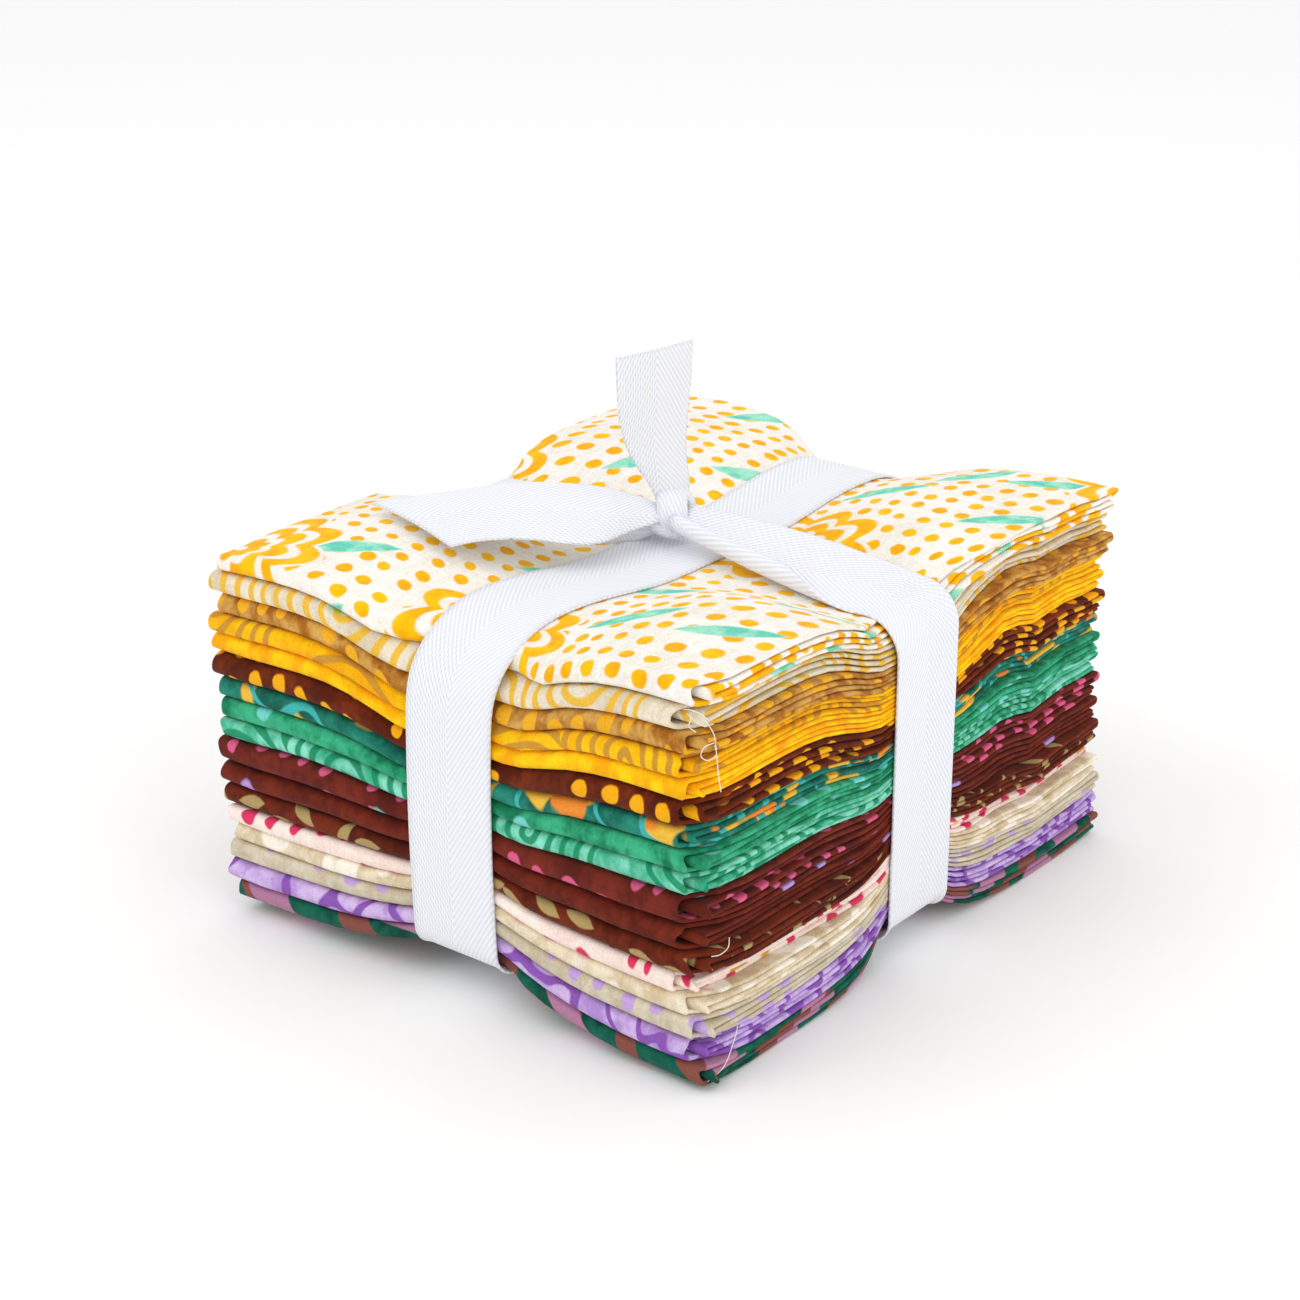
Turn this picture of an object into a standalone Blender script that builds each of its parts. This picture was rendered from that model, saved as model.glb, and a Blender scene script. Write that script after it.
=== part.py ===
"""Fat quarter bundle: seventeen folded cotton cloths in a stack, tied both ways with a twill ribbon.

Metres, +Z up. X runs along the closed folds, Y across them, and the front face is at -Y.
The stack stands on its four puffed quarters, which the ribbon's two bands part.
"""

import math

import bmesh
import bpy
from mathutils import Vector

MM = 0.001

# The stack. A cloth of 18 by 22 inches is folded in four each way.
WIDTH = 115 * MM
DEPTH = 137 * MM
HEIGHT = 78 * MM
CLOTH_GAP = 0.46 * MM
LAYER_GAP = 0.24 * MM
INNER_FOLD_SETBACK = 1.4 * MM
CUT_EDGE_SETBACK = 2.5 * MM

# The ribbon and its two bands, which cross near the middle of the stack.
RIBBON_WIDTH = 20 * MM
RIBBON_THICKNESS = 1.0 * MM
RIBBON_CLEARANCE = 0.45 * MM
BAND_X = 2.0 * MM
BAND_Y = 1.0 * MM
HALF_BAND = RIBBON_WIDTH / 2
STACK_CORNER = 7.5 * MM
BAND_CORNER = STACK_CORNER + RIBBON_CLEARANCE + RIBBON_THICKNESS / 2

# How the ribbon squeezes the stack, and how its edges and ends sag or lift away from its puffed quarters.
TROUGH_RUN_FRONT = 16 * MM
TROUGH_RUN_BACK = 8 * MM
BOTTOM_RUN_CROSSWISE = 9 * MM
TOP_DIP = 8.2 * MM
TOP_DIP_SHARE_AT_ENDS = 0.8
BOTTOM_RISE_MIDDLE = 5.5 * MM
BOTTOM_RISE_EDGE = 7.8 * MM
BOTTOM_PLUMP = 1.25 * MM
LEFT_DROOP = 1.2 * MM
END_DROOP = 1.6 * MM
END_LIFT_LEFT = 3.0 * MM
END_LIFT_RIGHT = 1.0 * MM
EDGE_PINCH = 1.2 * MM
PINCH_RUN = 12 * MM

# The shares of the half depth and half width at which the ends and the left edge begin to droop, and
# how much of a droop is left where another one or a band is.
END_STARTS = 0.74
LEFT_STARTS = 0.52
END_DROOP_TAKEN_AT_LEFT = 0.7
DROOP_TAKEN_BY_BANDS = 0.6

# Where the cloths bend between their edges: the same places in every cloth, so that none meets its neighbour.
ALONG = (-29 * MM, BAND_X - HALF_BAND, BAND_X + HALF_BAND, 31 * MM)
ACROSS = (-50 * MM, -24 * MM, BAND_Y - HALF_BAND, BAND_Y + HALF_BAND, 27 * MM, 51 * MM)

# From the top down. share is the thickness against the mean; left, right and front are how far the
# cloth's edges stand out past the stack's, in millimetres.
CLOTHS = (
    # name, share, left, right, front, colour
    ("cloth_01_ivory", 1.05, -1.2, 1.6, 0.2, (0.90, 0.83, 0.68)),
    ("cloth_02_cream", 1.08, 0.6, -0.8, 0.6, (0.84, 0.76, 0.62)),
    ("cloth_03_caramel", 0.95, -0.8, 1.3, 0.1, (0.63, 0.38, 0.13)),
    ("cloth_04_honey", 0.93, 0.8, -1.2, 0.5, (0.83, 0.52, 0.09)),
    ("cloth_05_yellow", 0.93, 1.4, -0.9, 0.0, (0.95, 0.62, 0.05)),
    ("cloth_06_rust", 1.20, 0.9, -0.4, 0.5, (0.30, 0.09, 0.03)),
    ("cloth_07_meadow", 0.93, 0.3, -1.4, -0.2, (0.20, 0.42, 0.30)),
    ("cloth_08_emerald", 0.93, 0.1, -0.3, 0.2, (0.08, 0.50, 0.31)),
    ("cloth_09_mint", 0.98, 0.1, -0.5, -0.1, (0.26, 0.68, 0.50)),
    ("cloth_10_brick", 1.25, 1.0, -0.4, 0.4, (0.33, 0.10, 0.07)),
    ("cloth_11_cocoa", 1.10, 0.6, -0.3, 0.1, (0.31, 0.11, 0.07)),
    ("cloth_12_walnut", 1.00, 1.1, 1.2, -0.2, (0.27, 0.08, 0.04)),
    ("cloth_13_blush", 0.84, -0.3, -1.1, 0.3, (0.89, 0.76, 0.66)),
    ("cloth_14_oat", 0.86, -1.6, 1.1, -0.1, (0.80, 0.70, 0.52)),
    ("cloth_15_stone", 0.93, -0.2, 1.4, 0.2, (0.66, 0.59, 0.44)),
    ("cloth_16_lilac", 1.07, 0.2, 1.0, 0.3, (0.62, 0.43, 0.74)),
    ("cloth_17_pine", 0.85, -1.5, 1.6, -0.3, (0.04, 0.22, 0.16)),
)
RIBBON_COLOUR = (0.86, 0.88, 0.92)

# The knot, above where the bands cross, and the two cut ends that leave it.
KNOT_AT = (-0.2 * MM, 0.1 * MM)
KNOT_HEIGHT = 7.2 * MM
KNOT_CORE = (6.4 * MM, 5.2 * MM, 6.1 * MM)
STRAND_RADIUS = 2.7 * MM
GATHERED_WIDTH = 7 * MM
GATHERED_THICKNESS = 3.4 * MM
OPEN_BY = 42 * MM
ENDS_POINT = math.radians(38)

# Where the crosswise band's two ends lie at the knot: inside it, and on its shoulders.
ENTRY_REACH = 3 * MM
SHOULDER_REACH = 14 * MM
SHOULDER_DROP = 2.4 * MM
GATHERED_REACH = 4 * MM

# The strands that round the knot, as arcs in upright planes turned by tilt. Offsets are in millimetres,
# leftward and frontward from the knot's middle.
WRAPS = (
    # name, tilt, offset, reach, rise, start, end (degrees and millimetres)
    ("front_wrap", -70, (0.8, 0.6), 4.6, 4.6, -30, 205),
    ("rear_wrap", 20, (-3.0, -1.0), 3.6, 4.2, -20, 200),
)


def mix(a, b, t):
    return a + (b - a) * t


def bell(distance, flat, run):
    """1 within flat of the middle, falling smoothly to 0 beyond it."""
    past = max(0.0, abs(distance) - flat)
    return math.exp(-((past / run) ** 2))


def smooth_step(t):
    t = min(1.0, max(0.0, t))
    return t * t * (3 - 2 * t)


def near_end(y):
    """0 over the middle of the stack, rising to 1 at its front and back."""
    return smooth_step((abs(y) / (DEPTH / 2) - END_STARTS) / (1 - END_STARTS))


def lengthwise_squeeze(x, y):
    """How much the band along Y squeezes the stack here: 1 under it and 0 well away."""
    return bell(x - BAND_X, HALF_BAND, mix(TROUGH_RUN_FRONT, TROUGH_RUN_BACK, 0.5 + y / DEPTH))


def stack_top(x, y):
    crosswise = bell(y - BAND_Y, HALF_BAND, TROUGH_RUN_FRONT if y < BAND_Y else TROUGH_RUN_BACK)
    at_end = smooth_step(abs(y) / (DEPTH / 2))
    squeezed = max(crosswise, lengthwise_squeeze(x, y) * mix(1.0, TOP_DIP_SHARE_AT_ENDS, at_end))
    left = smooth_step((-x / (WIDTH / 2) - LEFT_STARTS) / (1 - LEFT_STARTS))
    droop = LEFT_DROOP * left + END_DROOP * near_end(y) * (1 - END_DROOP_TAKEN_AT_LEFT * left)
    return HEIGHT - TOP_DIP * squeezed - droop * (1 - DROOP_TAKEN_BY_BANDS * squeezed)


def stack_bottom(x, y):
    u, v = x / (WIDTH / 2), y / (DEPTH / 2)
    lengthwise = lengthwise_squeeze(x, y) * mix(BOTTOM_RISE_MIDDLE, BOTTOM_RISE_EDGE, v * v)
    crosswise = bell(y - BAND_Y, HALF_BAND, BOTTOM_RUN_CROSSWISE) * mix(BOTTOM_RISE_MIDDLE, BOTTOM_RISE_EDGE, u * u)
    lift = near_end(y) * mix(END_LIFT_LEFT, END_LIFT_RIGHT, (1 + u) / 2)
    return max(0.0, max(lengthwise, crosswise) + lift - BOTTOM_PLUMP)


def place(x, y, level):
    """The point of the squeezed stack that lies at this share of its height."""
    return Vector((x, y, mix(stack_bottom(x, y), stack_top(x, y), level)))


def rounded_in(level, height, radius):
    """How far an edge of this radius is set in where the ribbon rounds the stack's top and bottom edges."""
    depth = min(level, 1 - level) * height
    if depth >= STACK_CORNER:
        return 0.0
    room = (STACK_CORNER - radius) ** 2 - (STACK_CORNER - depth) ** 2
    return STACK_CORNER - math.sqrt(max(0.0, room)) - radius


def drawn_in(distance, set_in, stands_out):
    """An edge's place against the stack's side: set in under a band, and its own elsewhere."""
    return mix(-stands_out, EDGE_PINCH + set_in, bell(distance, HALF_BAND, PINCH_RUN))


def end_inset(x, bottom, top, stands_out):
    """How far a whole cloth is set in at the stack's front or back."""
    squeezed = stack_top(BAND_X, DEPTH / 2) - stack_bottom(BAND_X, DEPTH / 2)
    set_in = rounded_in((bottom + top) / 2, squeezed, (top - bottom) * squeezed / 2)
    return drawn_in(x - BAND_X, set_in, stands_out)


def side_inset(y, level, stands_out):
    """How far a layer at this share of the height is set in at the stack's left or right."""
    squeezed = stack_top(WIDTH / 2, BAND_Y) - stack_bottom(WIDTH / 2, BAND_Y)
    return drawn_in(y - BAND_Y, rounded_in(level, squeezed, 0.0), stands_out)


def turn(centre, radius, start, end, steps):
    """Points and outward directions of a fold's round end, in the Y-height plane."""
    found = []
    for i in range(steps + 1):
        angle = math.radians(mix(start, end, i / steps))
        out = (math.cos(angle), math.sin(angle))
        found.append(((centre[0] + radius * out[0], centre[1] + radius * out[1]), out))
    return found


def folded_section(front, back, thickness):
    """The cloth's path in the Y-height plane: an inner fold in an outer one, both closed at the front.

    It is four layers that run back and forth. Each entry is the middle of the layer and the
    direction that points to the outer side of the cloth there.
    """
    layer = (thickness - CLOTH_GAP - 3 * LAYER_GAP) / 4
    heights = [CLOTH_GAP / 2 + layer / 2 + k * (layer + LAYER_GAP) for k in range(4)]
    outer = (heights[3] - heights[0]) / 2
    inner = (heights[2] - heights[1]) / 2
    middle = (heights[0] + heights[3]) / 2
    cut = back - CUT_EDGE_SETBACK
    forward, backward = list(ACROSS), list(reversed(ACROSS))
    down, up = (0.0, -1.0), (0.0, 1.0)
    path = [((cut, heights[1]), down)]
    path += [((y, heights[1]), down) for y in backward]
    path += turn((front + outer + layer / 2 + INNER_FOLD_SETBACK, middle), inner, 270, 90, 2)
    path += [((y, heights[2]), up) for y in forward]
    seat = (heights[2] + heights[3]) / 2
    back_turn = turn((back - inner - layer / 2, seat), inner, -90, 90, 2)
    path += [(point, (-out[0], -out[1])) for point, out in back_turn]
    path += [((y, heights[3]), down) for y in backward]
    outer_turn = turn((front + outer + layer / 2, middle), outer, 90, 270, 4)
    path += [(point, (-out[0], -out[1])) for point, out in outer_turn]
    path += [((y, heights[0]), up) for y in forward]
    path += [((cut, heights[0]), up)]
    return path, layer


def finish(name, mesh, colour, roughness=0.85):
    """Adds the mesh to the scene as an object with its own material."""
    obj = bpy.data.objects.new(name, mesh)
    bpy.context.scene.collection.objects.link(obj)
    material = bpy.data.materials.new(name)
    material.use_nodes = True
    shader = material.node_tree.nodes["Principled BSDF"]
    shader.inputs["Base Color"].default_value = (*colour, 1.0)
    shader.inputs["Roughness"].default_value = roughness
    material.diffuse_color = (*colour, 1.0)
    mesh.materials.append(material)
    mesh.shade_smooth()
    mesh.set_sharp_from_angle(angle=math.radians(50))
    return obj


def mesh_of(name, faces_of_points):
    """A mesh from faces given as lists of points, welded where points are the same."""
    shape = bmesh.new()
    known = {}
    for points in faces_of_points:
        corners = []
        for point in points:
            key = tuple(round(c, 8) for c in point)
            if key not in known:
                known[key] = shape.verts.new(point)
            corners.append(known[key])
        shape.faces.new(corners)
    bmesh.ops.recalc_face_normals(shape, faces=shape.faces)
    mesh = bpy.data.meshes.new(name)
    shape.to_mesh(mesh)
    shape.free()
    return mesh


def quads(grid, closed=False):
    """The faces between the rows and columns of a grid of points."""
    rows = len(grid)
    faces = []
    for i in range(rows if closed else rows - 1):
        here, there = grid[i], grid[(i + 1) % rows]
        for j in range(len(here) - 1):
            faces.append((here[j], here[j + 1], there[j + 1], there[j]))
    return faces


def split(faces):
    """Each four-sided face as two triangles, split along the line that points at the bands' crossing.

    Layers that lie on each other are split the same way, so they bend alike.
    """
    triangles = []
    for a, b, c, d in faces:
        middle = (a + b + c + d) / 4
        quarter_sign = (middle.x - BAND_X) * (middle.y - BAND_Y)
        slant = (c.x - a.x) * (c.y - a.y)
        if quarter_sign * slant > 0:
            triangles += [(a, b, c), (a, c, d)]
        else:
            triangles += [(b, c, d), (b, d, a)]
    return triangles


def cloth(name, bottom, top, left, right, front, colour):
    """One folded cloth that fills the stack between two shares of its height."""
    thickness = (top - bottom) * HEIGHT
    columns = (None, *ALONG, None)
    outer_side, inner_side = [], []
    for number, x in enumerate(columns):
        plan_x = x if x is not None else (-WIDTH / 2 if number == 0 else WIDTH / 2)
        path, layer = folded_section(
            -DEPTH / 2 + end_inset(plan_x, bottom, top, front),
            DEPTH / 2 - end_inset(plan_x, bottom, top, -front),
            thickness,
        )
        outer_row, inner_row = [], []
        for (y, height), out in path:
            for row, side in ((outer_row, 0.5), (inner_row, -0.5)):
                point_y = y + side * layer * out[0]
                level = bottom + (height + side * layer * out[1]) / HEIGHT
                at_x = x
                if number == 0:
                    at_x = -WIDTH / 2 + side_inset(y, level, left)
                elif number == len(columns) - 1:
                    at_x = WIDTH / 2 - side_inset(y, level, right)
                row.append(place(at_x, point_y, level))
        outer_side.append(outer_row)
        inner_side.append(inner_row)
    faces = split(quads(outer_side) + quads(inner_side))
    faces += quads([outer_side[0], inner_side[0]]) + quads([outer_side[-1], inner_side[-1]])
    for end in (0, -1):
        edge = [[row[end] for row in outer_side], [row[end] for row in inner_side]]
        faces += quads(edge)
    return finish(name, mesh_of(name, faces), colour)


def stack_of_cloths():
    """The cloths from the top down. The top and bottom ones have their outer half gap outside the stack."""
    total = sum(row[1] for row in CLOTHS)
    spare = CLOTH_GAP / HEIGHT
    level = 1.0 + spare / 2
    for name, share, left, right, front, colour in CLOTHS:
        below = level - (1.0 + spare) * share / total
        cloth(name, below, level, left * MM, right * MM, front * MM, colour)
        level = below


def strip(name, stations, closed=False):
    """A flat ribbon through stations of (middle, width direction, face direction, width, thickness)."""
    rings = []
    for middle, across, facing, width, thickness in stations:
        half = across.normalized() * width / 2
        lift = facing.normalized() * thickness / 2
        ring = [middle - half + lift, middle + lift, middle + half + lift]
        ring += [middle + half - lift, middle - lift, middle - half - lift]
        rings.append([*ring, ring[0]])
    faces = quads(rings, closed)
    if not closed:
        faces += [tuple(rings[0][:6]), tuple(rings[-1][:6])]
    return finish(name, mesh_of(name, faces), RIBBON_COLOUR)


def quarter(start, corner, end, steps):
    """Points on a rounded corner from start to end, without its two ends."""
    found = []
    for i in range(1, steps):
        angle = math.pi / 2 * i / steps
        a, b = 1 - math.sin(angle), 1 - math.cos(angle)
        point = Vector((corner[0], corner[1])) + (Vector(start) - Vector(corner)) * a
        found.append(point + (Vector(end) - Vector(corner)) * b)
    return found


def band_profile(low_edge, high_edge, bends, top, bottom, spare_below):
    """One band's path round the stack in its own plane, as (run, height) from the top's middle onwards.

    low_edge and high_edge are the stack's edges along the run, bends where its top and bottom bend.
    """
    off = RIBBON_CLEARANCE + RIBBON_THICKNESS / 2
    low, high = low_edge - off, high_edge + off
    inside = [b for b in bends if low + BAND_CORNER < b < high - BAND_CORNER]
    upper_low, upper_high = top(low + BAND_CORNER) + off, top(high - BAND_CORNER) + off
    lower_low, lower_high = bottom(low + BAND_CORNER) - off, bottom(high - BAND_CORNER) - off
    path = [Vector((b, top(b) + off)) for b in inside]
    path += [Vector((high - BAND_CORNER, upper_high))]
    path += quarter(path[-1], (high, upper_high), (high, upper_high - BAND_CORNER), 5)
    path += [Vector((high, upper_high - BAND_CORNER)), Vector((high, lower_high + BAND_CORNER))]
    path += quarter(path[-1], (high, lower_high), (high - BAND_CORNER, lower_high), 5)
    path += [Vector((high - BAND_CORNER, lower_high))]
    path += [Vector((b, bottom(b) - off - spare_below)) for b in reversed(inside)]
    path += [Vector((low + BAND_CORNER, lower_low))]
    path += quarter(path[-1], (low, lower_low), (low, lower_low + BAND_CORNER), 5)
    path += [Vector((low, lower_low + BAND_CORNER)), Vector((low, upper_low - BAND_CORNER))]
    path += quarter(path[-1], (low, upper_low), (low + BAND_CORNER, upper_low), 5)
    path += [Vector((low + BAND_CORNER, upper_low))]
    return path


def facings(path, closed):
    """Directions square to a path in its plane, pointing out of the loop."""
    found = []
    count = len(path)
    for i in range(count):
        before = path[i - 1] if i > 0 or closed else path[i]
        after = path[(i + 1) % count] if i < count - 1 or closed else path[i]
        step = (after - before).normalized()
        found.append(Vector((-step[1], step[0])))
    return found


def lengthwise_band():
    """The band that runs over the closed folds at the front and back, under the knot."""
    path = band_profile(
        EDGE_PINCH - DEPTH / 2, DEPTH / 2 - EDGE_PINCH, ACROSS,
        lambda y: stack_top(BAND_X, y), lambda y: stack_bottom(BAND_X, y), 0.0,
    )
    stations = []
    for point, out in zip(path, facings(path, True)):
        middle = Vector((BAND_X, point[0], point[1]))
        stations.append((middle, Vector((1, 0, 0)), Vector((0, out[0], out[1])), RIBBON_WIDTH, RIBBON_THICKNESS))
    return strip("ribbon", stations, closed=True)


def knot_middle():
    return Vector((*KNOT_AT, stack_top(BAND_X, BAND_Y) + KNOT_HEIGHT))


def crosswise_band():
    """The band that runs over the cloths' sides, gathered where both its ends enter the knot."""
    crossing = RIBBON_CLEARANCE + RIBBON_THICKNESS
    path = band_profile(
        EDGE_PINCH - WIDTH / 2, WIDTH / 2 - EDGE_PINCH, ALONG,
        lambda x: stack_top(x, BAND_Y), lambda x: stack_bottom(x, BAND_Y), crossing,
    )
    first = next(i for i, point in enumerate(path) if point[0] > BAND_X + HALF_BAND + MM)
    path = path[first:] + path[: len([b for b in ALONG if b < BAND_X - HALF_BAND - MM])]
    hub = knot_middle()
    right, left = (
        [Vector((hub.x + side * ENTRY_REACH, hub.z)), Vector((hub.x + side * SHOULDER_REACH, hub.z - SHOULDER_DROP))]
        for side in (1, -1)
    )
    path = [*right, *path, *reversed(left)]
    stations = []
    for number, (point, out) in enumerate(zip(path, facings(path, False))):
        on_top = number < 5 or number > len(path) - 5
        opened = smooth_step((abs(point[0] - hub.x) - GATHERED_REACH) / OPEN_BY) if on_top else 1.0
        width = mix(GATHERED_WIDTH, RIBBON_WIDTH, opened)
        thickness = mix(GATHERED_THICKNESS, RIBBON_THICKNESS, min(1.0, 2 * opened))
        middle = Vector((point[0], BAND_Y, point[1] + (thickness - RIBBON_THICKNESS) / 2))
        stations.append((middle, Vector((0, 1, 0)), Vector((out[0], 0, out[1])), width, thickness))
    return strip("crosswise_band", stations)


def tube(name, points, side, radius, sides=8):
    """A closed round strand through points in the plane that side is square to, with flat ends."""
    rings = []
    count = len(points)
    for i, point in enumerate(points):
        step = (points[min(i + 1, count - 1)] - points[max(i - 1, 0)]).normalized()
        rise = side.cross(step)
        ring = []
        for k in range(sides):
            angle = 2 * math.pi * k / sides
            ring.append(point + (side * math.cos(angle) + rise * math.sin(angle)) * radius)
        rings.append([*ring, ring[0]])
    faces = quads(rings) + [tuple(rings[0][:sides]), tuple(rings[-1][:sides])]
    return finish(name, mesh_of(name, faces), RIBBON_COLOUR)


def core():
    """The knot's heart, which every strand enters."""
    shape = bmesh.new()
    bmesh.ops.create_uvsphere(shape, u_segments=12, v_segments=8, radius=1.0)
    bmesh.ops.scale(shape, vec=KNOT_CORE, verts=shape.verts)
    bmesh.ops.translate(shape, vec=knot_middle(), verts=shape.verts)
    mesh = bpy.data.meshes.new("knot_core")
    shape.to_mesh(mesh)
    shape.free()
    return finish("knot_core", mesh, RIBBON_COLOUR)


def from_knot(leftward, frontward, up):
    """A point this many millimetres from the knot, leftward along the lying end and frontward square to it."""
    left = Vector((-math.cos(ENDS_POINT), -math.sin(ENDS_POINT), 0))
    front = Vector((math.sin(ENDS_POINT), -math.cos(ENDS_POINT), 0))
    return knot_middle() + (left * leftward + front * frontward + Vector((0, 0, up))) * MM


def wrap(name, tilt, offset, reach, rise, start, end, steps=8):
    """A strand that rounds the knot, from a row of WRAPS."""
    along = Vector((math.cos(math.radians(tilt)), math.sin(math.radians(tilt)), 0))
    middle = from_knot(*offset, 0)
    points = []
    for i in range(steps + 1):
        angle = math.radians(mix(start, end, i / steps))
        step = along * reach * math.cos(angle) + Vector((0, 0, rise * math.sin(angle)))
        points.append(middle + step * MM)
    return tube(name, points, along.cross(Vector((0, 0, 1))), STRAND_RADIUS)


def free_end(name, rows):
    """An end of the ribbon from rows of (back or left edge, front or right edge, thickness), in millimetres."""
    middles = [(from_knot(*one) + from_knot(*other)) / 2 for one, other, _ in rows]
    stations = []
    for number, (one, other, thickness) in enumerate(rows):
        across = from_knot(*other) - from_knot(*one)
        step = middles[min(number + 1, len(rows) - 1)] - middles[max(number - 1, 0)]
        stations.append((middles[number], across, across.cross(step), across.length, thickness * MM))
    return strip(name, stations)


def standing_end():
    """The ribbon's end that stands up from the knot, cut on a slant."""
    return free_end("standing_end", (
        # left edge, right edge, thickness
        ((2.8, 0.5, 0.5), (-2.8, -1.5, 0.5), 3.4),
        ((4.6, 1.0, 5.5), (-2.6, -2.5, 5.5), 3.2),
        ((7.4, 2.5, 10.0), (-2.0, -4.5, 11.0), 2.2),
        ((9.8, 4.0, 15.5), (-2.2, -6.0, 17.0), 1.2),
        ((11.8, 5.5, 22.0), (-2.9, -7.5, 25.0), 1.0),
        ((12.4, 5.8, 28.5), (-3.2, -7.5, 35.8), 1.0),
    ))


def lying_end():
    """The ribbon's end that lies over the front left quarter of the top, cut on a slant."""
    return free_end("lying_end", (
        # back edge, front edge, thickness
        ((3.0, -1.2, 1.5), (3.0, 3.4, -2.0), 3.4),
        ((8.5, -0.5, 4.0), (8.5, 7.0, 0.0), 2.8),
        ((16.5, 0.5, 6.2), (16.5, 14.5, 0.6), 1.4),
        ((29.0, 2.4, 6.8), (27.0, 21.2, 1.9), 1.0),
        ((43.0, 3.2, 5.0), (36.0, 22.6, 2.0), 1.0),
        ((58.5, 2.4, 2.4), (45.0, 23.8, 2.1), 1.0),
    ))


def tied_ribbon():
    """The ribbon is one cut length, so its bands, knot and ends are joined into one solid."""
    whole = lengthwise_band()
    parts = [core(), *(wrap(*row) for row in WRAPS), crosswise_band(), standing_end(), lying_end()]
    for part in parts:
        join = whole.modifiers.new(part.name, "BOOLEAN")
        join.operation = "UNION"
        join.object = part
        part.hide_render = True
        part.display_type = "WIRE"
    return whole


def main():
    for obj in list(bpy.data.objects):
        bpy.data.objects.remove(obj)
    stack_of_cloths()
    tied_ribbon()


main()
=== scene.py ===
"""Fat quarter bundle: seventeen printed cotton cloths, each folded in four both ways, in a stack
tied both ways with a white herringbone ribbon.

Lengths below are in millimetres, and become metres where a mesh is made. X runs along the closed
folds, Y across them, and the front face is at -Y.
"""

import math

import bpy
import numpy as np
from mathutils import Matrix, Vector


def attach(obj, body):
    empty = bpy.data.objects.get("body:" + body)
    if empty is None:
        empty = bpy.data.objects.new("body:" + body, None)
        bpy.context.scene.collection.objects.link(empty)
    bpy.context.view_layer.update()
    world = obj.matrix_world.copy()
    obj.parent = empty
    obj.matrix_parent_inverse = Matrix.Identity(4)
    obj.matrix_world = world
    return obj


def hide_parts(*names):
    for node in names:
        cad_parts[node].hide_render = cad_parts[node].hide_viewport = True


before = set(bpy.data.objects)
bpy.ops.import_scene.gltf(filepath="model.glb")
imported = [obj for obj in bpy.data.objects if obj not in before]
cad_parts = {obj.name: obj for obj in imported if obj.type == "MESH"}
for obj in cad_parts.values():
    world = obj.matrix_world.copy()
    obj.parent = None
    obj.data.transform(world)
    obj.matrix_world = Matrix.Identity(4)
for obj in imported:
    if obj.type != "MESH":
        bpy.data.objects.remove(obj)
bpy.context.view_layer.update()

MM = 0.001

# The camera, as fitted to the photograph: 0 degrees looks along +Y.
CAMERA_AZIMUTH = math.radians(38.0)
CAMERA_ELEVATION = math.radians(21.7)
CAMERA_DISTANCE = 544.0
CAMERA_LENS = 76.15
AIM_SIDEWAYS = -5.0
AIM_HEIGHT = 47.7

# The stack, and how far the cloths' edges may wander.
WIDTH = 115.0
DEPTH = 137.0
HEIGHT = 78.0
TOP_HEIGHT = 77.6
TOP_CROWN = 0.5
TROUGH_DEPTH = 8.2
EDGE_WANDER = 0.55
FRONT_WANDER = 0.25

# A cloth is folded in four across and then in four along. A ply is the four layers of the first
# folding, and these are its outer and inner layers' distances from its middle.
OUTER_LAYER = 0.46
INNER_LAYER = 0.15
# How far behind a fold its layers are flat, against the cloth's thickness.
FOLD_DEPTH = 0.78
# Within these plan distances from the middle, every layer has the same stations.
SHARED_X = 42.0
SHARED_Y = 52.0

# The ribbon. Its middle lies TAPE_OFF from the stack's top and bottom and FACE_OFF from its faces.
TAPE_WIDTH = 20.0
TAPE_THICKNESS = 0.5
TAPE_OFF = 0.38
FACE_OFF = 0.55
BAND_X = 2.2
BAND_Y = 0.8
HALF_BAND = TAPE_WIDTH / 2
BAND_END_CORNER = (21.0, 18.0)
BAND_SIDE_CORNER = (7.5, 7.5)
BAND_LOW_CORNER = 4.6
BANDS_APART = 0.3
END_PINCH = 1.2
SIDE_PINCH = 0.0
PINCH_RUN = 12.0
TOP_CORNER_RUN = 8.0
LOW_CORNER_RUN = 3.5

# How far a band draws the stack's edges in, and over what depth below the top: at the ends, at the
# sides, and at the bottom all round.
END_ROUNDING = (7.2, 4.0)
SIDE_ROUNDING = (5.5, 2.6)
LOW_ROUNDING = (3.4, 2.0)

# The second, shallow wave beside the band on the right.
WAVE_DEPTH = 2.1
WAVE_MIDDLE = 38.0
WAVE_CROSSING = 37.0
WAVE_RUN = 4.9
WAVE_REACH = 12.0

# Plan stations that every layer of every cloth shares, so that no layer meets the next.
PLAN_X = (-53, -48, -42, -36, -30, -24, -18, -13, -9, -6, -2, 2, 6, 10, 13, 17, 22, 28, 34, 40, 46, 51, 54)
PLAN_Y = (
    -64, -60, -54, -48, -42, -36, -30, -24, -18, -13, -9, -5,
    1, 7, 11, 15, 19, 24, 30, 36, 42, 48, 54, 60, 64,
)

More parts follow.
